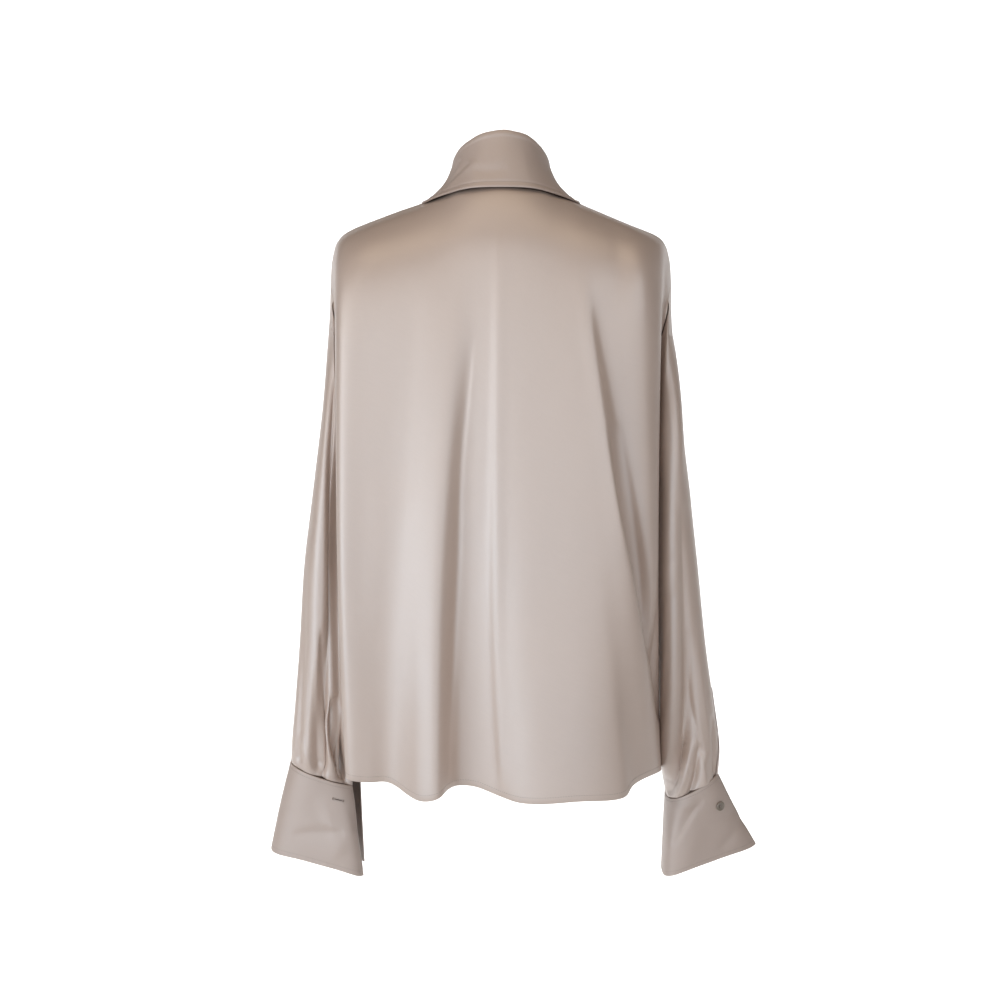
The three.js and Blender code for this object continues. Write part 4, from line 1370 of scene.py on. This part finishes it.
@dataclass
class Button:
    """A small round four-hole button with a raised rim, sewn on with crossed thread."""

    node: str
    radius: float = 5.4
    thick: float = 2.0
    hole: float = 0.62
    hole_out: float = 1.35
    stand_off: float = 0.35
    segments: int = 40
    hole_segments: int = 10
    weld: float = 0.02
    thread: tuple[float, float, float] = (1.6, 0.34, 0.3)
    thread_share: float = 0.66

    def build(self, place: Vector, out: Vector) -> None:
        """Make the button on a point, facing out of the cloth.

        Args:
            place: The point of the cloth under its middle.
            out: The direction out of the cloth.
        """
        turn = out.to_track_quat("Z", "Y").to_matrix().to_4x4()
        seat = Matrix.Scale(MM, 4) @ Matrix.Translation(place + out * self.stand_off) @ turn
        bm = bmesh.new()
        self._disc(bm)
        bm.transform(seat)
        bmesh.ops.recalc_face_normals(bm, faces=bm.faces)
        dress(new_object(self.node, bm), self.node, SHELL)
        bm = bmesh.new()
        height = Matrix.Translation((0, 0, self.thick * self.thread_share))
        for across in (45, 135):
            add_bead(bm, seat @ height @ Matrix.Rotation(math.radians(across), 4, "Z"), self.thread, finer=2)
        carry(new_object(f"{self.node}_thread", bm), THREAD)

    def _disc(self, bm: bmesh.types.BMesh) -> None:
        """Shape the disc: a dished face pierced by four holes, in a rounded rim."""
        profile = [(self.radius * out, self.thick * up) for out, up in BUTTON_RIM]
        inner, floor = profile[0]
        bmesh.ops.create_circle(bm, segments=self.segments, radius=inner)
        for quarter in range(4):
            turn = math.radians(45 + 90 * quarter)
            centre = Matrix.Translation((math.cos(turn) * self.hole_out, math.sin(turn) * self.hole_out, 0))
            bmesh.ops.create_circle(bm, segments=self.hole_segments, radius=self.hole, matrix=centre)
        face = bmesh.ops.triangle_fill(bm, use_beauty=True, use_dissolve=False, edges=bm.edges[:])
        plate = [item for item in face["geom"] if isinstance(item, bmesh.types.BMFace)]
        top = bmesh.ops.extrude_face_region(bm, geom=plate)
        raised = [item for item in top["geom"] if isinstance(item, bmesh.types.BMVert)]
        bmesh.ops.translate(bm, verts=raised, vec=(0, 0, floor))
        rim = [bm.verts.new((r, 0, z)) for r, z in profile]
        edges = [bm.edges.new(pair) for pair in zip(rim, rim[1:])]
        bmesh.ops.spin(bm, geom=rim + edges, cent=(0, 0, 0), axis=(0, 0, 1), angle=math.tau,
                       steps=self.segments, use_merge=True)
        bmesh.ops.remove_doubles(bm, verts=bm.verts, dist=self.weld)
        inside = [f for f in bm.faces if f.calc_area() > 0 and all(len(e.link_faces) > 2 for e in f.edges)]
        bmesh.ops.delete(bm, geom=inside, context="FACES")


@dataclass
class Buttonhole:
    """A worked buttonhole: close stitches in a long oval round a cut, with a near-black bead in the cut as
    painted shade.
    """

    name: str
    length: float = 13
    width: float = 2.2
    stitches: int = 64
    stitch: tuple[float, float, float] = (0.3, 0.63, 0.42)
    stitch_lift: float = 0.1
    straight: float = 3
    fan: float = 0.1
    # The bead laid in the cut is painted shade for its hollow: its half sizes along, beside and out, and how
    # far it stands out.
    cut: tuple[float, float, float] = (5.7, 0.45, 0.3)
    shade_bead_lift: float = 0.12

    def build(self, place: Vector, out: Vector, along: Vector) -> None:
        """Make the buttonhole on a point, facing out, with its cut along a direction."""
        beside = out.cross(along).normalized()
        along = beside.cross(out).normalized()
        turn = Matrix((along, beside, out)).transposed().to_4x4()
        seat = Matrix.Scale(MM, 4) @ Matrix.Translation(place) @ turn
        bm = bmesh.new()
        half = (self.length - self.width) / 2
        for step in range(self.stitches):
            turn = math.tau * step / self.stitches
            x = math.cos(turn) * self.width / 2
            x += math.copysign(half, math.cos(turn)) * min(1, abs(math.cos(turn)) * self.straight)
            y = math.sin(turn) * self.width / 2
            heading = Matrix.Rotation(math.atan2(y, x * self.fan) - math.pi / 2, 4, "Z")
            spot = Matrix.Translation((x, y, self.stitch_lift)) @ heading
            add_bead(bm, seat @ spot, self.stitch)
        carry(new_object(self.name, bm), THREAD)
        # A near-black bead in the cut: painted shade for the slit's hollow.
        bm = bmesh.new()
        add_bead(bm, seat @ Matrix.Translation((0, 0, self.shade_bead_lift)), self.cut, finer=2)
        carry(new_object(f"{self.name}_cut", bm), SLIT_PAINTED_SHADE)


class Lamp(NamedTuple):
    """A soft rectangular light: its place, what it faces, its size, its power and its colour."""

    name: str
    place: tuple[float, float, float]
    target: tuple[float, float, float]
    width: float
    height: float
    power: float
    colour: Colour


LAMPS = [
    Lamp("key", (-2.3, -1.9, 0.2), (0, -0.1, -0.25), 2.2, 1.3, 22, (1.0, 0.962, 0.925)),
    Lamp("low key", (-2.3, -1.9, -1.1), (0, -0.1, -0.55), 2.2, 1.3, 37, (0.71, 0.865, 1.0)),
    Lamp("window", (-2.7, -0.5, -0.6), (0, 0.0, -0.5), 1.8, 2.2, 4, (0.9, 0.95, 1.0)),
    Lamp("front", (-0.1, -3.4, 0.3), (0, 0, -0.25), 3.6, 1.0, 20.5, (1.0, 0.952, 0.90)),
    Lamp("low front", (-0.1, -3.4, -0.75), (0, 0, -0.45), 3.6, 1.0, 21, (0.68, 0.845, 1.0)),
    Lamp("far side", (2.2, -2.4, 0.4), (0, 0, -0.15), 1.7, 1.7, 17, (0.9, 0.95, 1.0)),
    Lamp("ceiling", (0, -0.7, 1.9), (0, -0.1, 0), 3.0, 2.0, 17, (1.0, 0.8, 0.56)),
    Lamp("backdrop", (0, 0.9, 1.2), (0, 5.0, -0.9), 5.0, 0.8, 300, (1, 1, 1)),
]


@dataclass
class Studio:
    """A pale floor that sweeps up behind, soft lights and the camera, in metres."""

    camera: tuple[float, float, float] = (-0.0011, -1.9, -0.078)
    target: tuple[float, float, float] = (-0.0011, 0.0, -0.3333)
    lens: float = 61.62
    sensor: float = 36
    room_colour: Colour = (0.93, 0.95, 1.0)
    room_strength: float = 0.14
    floor_z: float = -1.35
    floor_half: float = 8
    floor_near: float = -5
    floor_run: float = 11.8
    bend_start: float = 3.0
    bend_run: float = 3.14
    bend_radius: float = 2

    def build(self) -> None:
        """Build the floor, the lights, the world and the camera."""
        self._floor()
        for lamp in LAMPS:
            self._light(lamp)
        bpy.context.scene.view_settings.view_transform = "Standard"
        self._world()
        data = bpy.data.cameras.new("camera")
        data.lens = self.lens
        data.sensor_width = self.sensor
        view = bpy.data.objects.new("camera", data)
        self._aim(view, self.camera, self.target)
        bpy.context.scene.camera = view

    def _world(self) -> None:
        """Make a dim room that looks white to the camera."""
        world = bpy.data.worlds.new("studio")
        world.use_nodes = True
        nodes = Nodes(world.node_tree)
        room = world.node_tree.nodes["Background"]
        nodes.feed(room.inputs["Color"], (*self.room_colour, 1))
        nodes.feed(room.inputs["Strength"], self.room_strength)
        seen, path = nodes.add("Background", {"Color": (1, 1, 1, 1)}), nodes.add("LightPath")
        sides = {0: path.outputs["Is Camera Ray"], 1: room.outputs[0], 2: seen.outputs[0]}
        choice = nodes.add("MixShader", sides)
        nodes.feed(world.node_tree.nodes["World Output"].inputs["Surface"], choice.outputs[0])
        bpy.context.scene.world = world

    def _floor(self) -> None:
        """Make the floor, bent up into a wall behind."""
        bm = bmesh.new()
        bmesh.ops.create_grid(bm, x_segments=1, y_segments=40, size=1)
        bend_end = self.bend_start + self.bend_run
        for vert in bm.verts:
            run = (vert.co.y + 1) * self.floor_run / 2 + self.floor_near
            bend = min(max((run - self.bend_start) / self.bend_run, 0), 1) * math.pi / 2
            rise = self.bend_radius * (1 - math.cos(bend)) + max(run - bend_end, 0)
            reach = min(run, self.bend_start) + self.bend_radius * math.sin(bend)
            vert.co = (vert.co.x * self.floor_half, reach, self.floor_z + rise)
        obj = new_object("floor", bm)
        obj.data.materials.append(FLOOR.material())

    def _light(self, lamp: Lamp) -> None:
        """Add one lamp, unseen by the camera."""
        data = bpy.data.lights.new(lamp.name, "AREA")
        data.shape = "RECTANGLE"
        data.size, data.size_y = lamp.width, lamp.height
        data.energy = lamp.power
        data.color = lamp.colour
        light = bpy.data.objects.new(lamp.name, data)
        light.visible_camera = False
        self._aim(light, lamp.place, lamp.target)

    @staticmethod
    def _aim(thing: bpy.types.Object, place: Sequence[float], target: Sequence[float]) -> None:
        """Put a lamp or the camera in its place, facing a target."""
        thing.location = place
        thing.rotation_euler = (Vector(target) - Vector(place)).to_track_quat("-Z", "Y").to_euler()
        bpy.context.scene.collection.objects.link(thing)


FOLD_4 = [(84, -58), (96, -146), (109, -240), (124, -326), (139, -393), (154, -471), (164, -521), (172, -580)]
WALL_1 = [(-30, -150), (-36, -215), (-42, -290), (-45, -390), (-49, -470), (-54, -560), (-58, -636)]
RIDGE_2 = [(-2, -34), (-3, -170), (-4.7, -335), (-4, -481), (2, -606), (4, -640)]
SLEEVE_BAND = [(186, -394), (189, -483), (190, -551), (186, -609), (182, -649)]
SLEEVE_FOLD = [(196, -330), (202, -483), (203, -551), (200.5, -591), (191, -637), (185, -670)]
CREASES: dict[str, list[Crease]] = {
    "back": [
        Crease(RIDGE_2, 6.5, 2.2, run_out=1.3),
        Crease(WALL_1, 8, -2.6, run_out=0.35),
        Crease(FOLD_4[1:], 5, 1.0, run_out=0.6),
        Crease([(x + 5, z) for x, z in FOLD_4[2:]], 4, -1.6, run_out=4),
        Crease([(x + 8, z) for x, z in FOLD_4[2:]], 4.5, -13, run_out=2.2),
        Crease([(-128, -290), (-133, -380), (-135, -470)], 11, 0.5),
        Crease([(-152, -420), (-156, -520), (-158, -600)], 11, 0.5),
    ],
    "front_left": [
        Crease([(-60, -150), (-92, -330), (-104, -610)], 10, 1.6, behind=False),
        Crease([(-122, -210), (-128, -400), (-136, -560)], 12, -1.4, behind=False),
    ],
    "front_right": [
        Crease([(58, -170), (84, -350), (96, -620)], 11, 1.5, behind=False),
        Crease([(120, -230), (132, -390), (139, -590)], 13, -1.5, behind=False),
    ],
    "sleeve_left": [
        Crease([(-181, -142), (-184, -236), (-187, -447), (-196, -550), (-200, -640)], 4.5, -7.5, run_out=2),
        Crease([(-197, -470), (-201, -560), (-202, -610), (-201.5, -650)], 2.6, -8, run_out=1.8),
        Crease([(-189, -556), (-196, -577), (-194, -600), (-187, -642)], 3.0, 4.5),
        Crease([(-184, -548), (-188, -576), (-186, -603), (-179, -648)], 4.2, -7.5),
        Crease([(-176, -400), (-174, -487), (-175, -560), (-172, -645)], 6, 5.5),
        Crease([(-206, -328), (-213, -484), (-218, -593), (-225, -627)], 7, -1.8),
        Crease([(-226, -590), (-221, -612), (-214, -634)], 4, 1.6),
        Crease([(-200, -200), (-214, -380), (-224, -560)], 12, -2.2, behind=False),
        Crease([(-188, -470), (-192, -560), (-197, -636)], 5, -4, behind=False),
    ],
    "sleeve_right": [
        Crease(SLEEVE_FOLD, 4.0, -6.5, run_out=4.0),
        Crease([(208, -470), (206, -560), (200, -610), (190, -655)], 8, -4.0),
        Crease(SLEEVE_BAND, 9, 7),
        Crease([(187, -150), (188, -240), (187, -330), (186, -430)], 9, 6.0),
        Crease([(204.6, -523), (219.5, -591), (234, -652)], 3, -1.4),
        Crease([(218.4, -485), (226.4, -553), (235.3, -622)], 3, 0.8),
        Crease([(224.7, -612), (229, -660)], 6, 4.2),
        Crease([(221.5, -602), (217, -642), (207, -673)], 3.4, -5.5),
        Crease([(214, -596), (205, -640), (197, -671)], 4.0, 3.6),
        Crease([(207, -590), (197, -632), (189, -668)], 3.2, -4.0),
        Crease([(236, -570), (239, -617), (241, -663)], 2.4, -2.2),
        Crease([(206, -190), (212, -380), (226, -560)], 13, -2.2, behind=False),
        Crease([(204, -480), (210, -560), (219, -640)], 5, -4, behind=False),
    ],
    "cuff_left": [
        Crease([(-236, -712), (-205, -705), (-176, -703)], 8, -1.7, run_out=0.6),
        Crease([(-205, -665), (-192, -696), (-181, -731)], 8, 1.3),
        Crease([(-214, -668), (-203, -694), (-198, -722)], 9, -1.0),
        Crease([(-170, -675), (-162, -704), (-158, -737)], 5, -1.3),
        Crease([(-196, -740), (-180, -722), (-170, -700)], 7, 0.9),
        Crease([(-240, -690), (-214, -722), (-180, -735)], 10, -1.2, behind=False),
    ],
    "cuff_right": [
        Crease([(228, -664), (212, -687), (193, -722)], 7, -2.4, run_out=0.5),
        Crease([(247, -730), (262, -714), (277, -696)], 7, -1.6),
        Crease([(192, -680), (212, -673), (230, -666)], 7, 1.1),
        Crease([(226, -700), (213, -722), (204, -748)], 9, 0.9),
        Crease([(206, -690), (232, -715), (270, -730)], 10, -1.2, behind=False),
    ],
    "collar_leaf": [
        Crease([(-64, 8), (-49, 20), (-33, 34)], 2.6, -1.7),
        Crease([(-59, 13), (-51, 26), (-43, 39)], 2.2, -1.2),
        Crease([(-57, 10), (-41, 25), (-24, 35)], 4, 1.2),
        Crease([(-30, 25.8), (-12, 24.7), (7, 27.8)], 6, -1.3),
        Crease([(37, 57), (44, 41), (52, 24)], 5, -1.2),
    ],
}

CUFF_TURN = {Side.LEFT: 0.24, Side.RIGHT: 0.34}

CUTS: dict[str, Cut] = {
    "back": Cut(0.63, 0.69, 0.37),
    "front_left": Cut(0.32, 0.69, 0.18),
    "front_right": Cut(0.28, 0.69, 0.175),
    "sleeve_left": Cut(0.36, 0.56, 0.137),
    "sleeve_right": Cut(0.36, 0.56, 0.137),
    "binding_left": Cut(0.012, 0.21, 0.0023),
    "binding_right": Cut(0.012, 0.21, 0.0022),
    "cuff_left": Cut(0.28, 0.115, 0.0255),
    "cuff_right": Cut(0.285, 0.115, 0.0225),
    "collar_stand": Cut(0.38, 0.055, 0.0128),
    "collar_leaf": Cut(0.55, 0.10, 0.029),
}


@dataclass
class Fastenings:
    """All the buttons and buttonholes, placed on the fronts, the stand and the cuffs."""

    body: Body
    collar: Collar
    first: float = -74
    step: float = -83
    count: int = 7
    stand_angle: float = 184
    stand_place: float = 0.42
    fine_steps: int = 1200
    small_step: float = 1e-3
    hole_heading: float = 0.8

    def build(self, cuffs: Sequence[Cuff]) -> None:
        """Place the buttons and buttonholes."""
        net = self.body.nets["front_right"]
        centre = net.shape[1] - 2
        places = np.linspace(0, len(net) - 1, self.fine_steps)
        line = smooth_line(net[:, centre][:, None], places)[:, 0]
        for number in range(self.count):
            z = self.first + number * self.step
            row = int(np.argmax(line[:, 2] <= z))
            down = Vector(line[row + 1] - line[row]).normalized()
            out = Vector((0, -down.z, down.y)).normalized()
            spot = Vector(line[row]) + out * self.body.cloth / 2
            Button(f"button_front_{number + 1}").build(spot, out)
            Buttonhole(f"buttonhole_front_{number + 1}").build(spot, out, down)
        angle = math.radians(self.stand_angle)
        angles, places = (np.array([at, at + self.small_step]) for at in (angle, self.stand_place))
        grid = self.collar.stand_points(angles, places)
        out = Vector(np.cross(grid[0, 1] - grid[0, 0], grid[1, 0] - grid[0, 0])).normalized()
        if out.y < 0:
            out.negate()
        spot = Vector(grid[0, 0]) + out * self.collar.stand_cloth / 2
        Button("button_collar").build(spot, out)
        Buttonhole("buttonhole_collar").build(spot, out, Vector((1, 0, 0)))
        for cuff in cuffs:
            place = cuff.button_down
            share = cuff.share_of(cuff.button_in, place)
            Button(f"button_cuff_{cuff.side.word}").build(*cuff.at(share, place))
            place = cuff.hole_down
            share = cuff.share_of(cuff.hole_in, place)
            spot, out = cuff.at(1 - share, place)
            along = cuff.at(1 - share * self.hole_heading, place)[0] - spot
            Buttonhole(f"buttonhole_cuff_{cuff.side.word}").build(spot, out, along)


def main() -> None:
    """Build the blouse piece by piece, then the studio."""
    logging.basicConfig(level=logging.INFO, format="%(message)s")
    body = Body()
    body.lay_out()
    hem_stitches = Stitching("stitches_hem")
    for name in ("back", "front_left", "front_right"):
        body.finish_panel(name, CREASES[name], hem_stitches)
    hem_stitches.build()
    cuff_stitches = Stitching("stitches_cuffs")
    cuffs = []
    for side in Side:
        sleeve = Sleeve(side, body)
        sleeve.build(CREASES[f"sleeve_{side.word}"], CUTS[f"sleeve_{side.word}"])
        sleeve.bind(CUTS[f"binding_{side.word}"])
        cuff = Cuff(side, turn=CUFF_TURN[side])
        cuff.build(CREASES[f"cuff_{side.word}"], CUTS[f"cuff_{side.word}"], cuff_stitches)
        cuffs.append(cuff)
    cuff_stitches.build()
    collar_stitches = Stitching("stitches_collar")
    collar = Collar(body)
    collar.build(CREASES["collar_leaf"], (CUTS["collar_stand"], CUTS["collar_leaf"]), collar_stitches)
    collar_stitches.build()
    Fastenings(body, collar).build(cuffs)
    Studio().build()
    LOG.info("all pieces built")


if __name__ == "__main__":
    main()
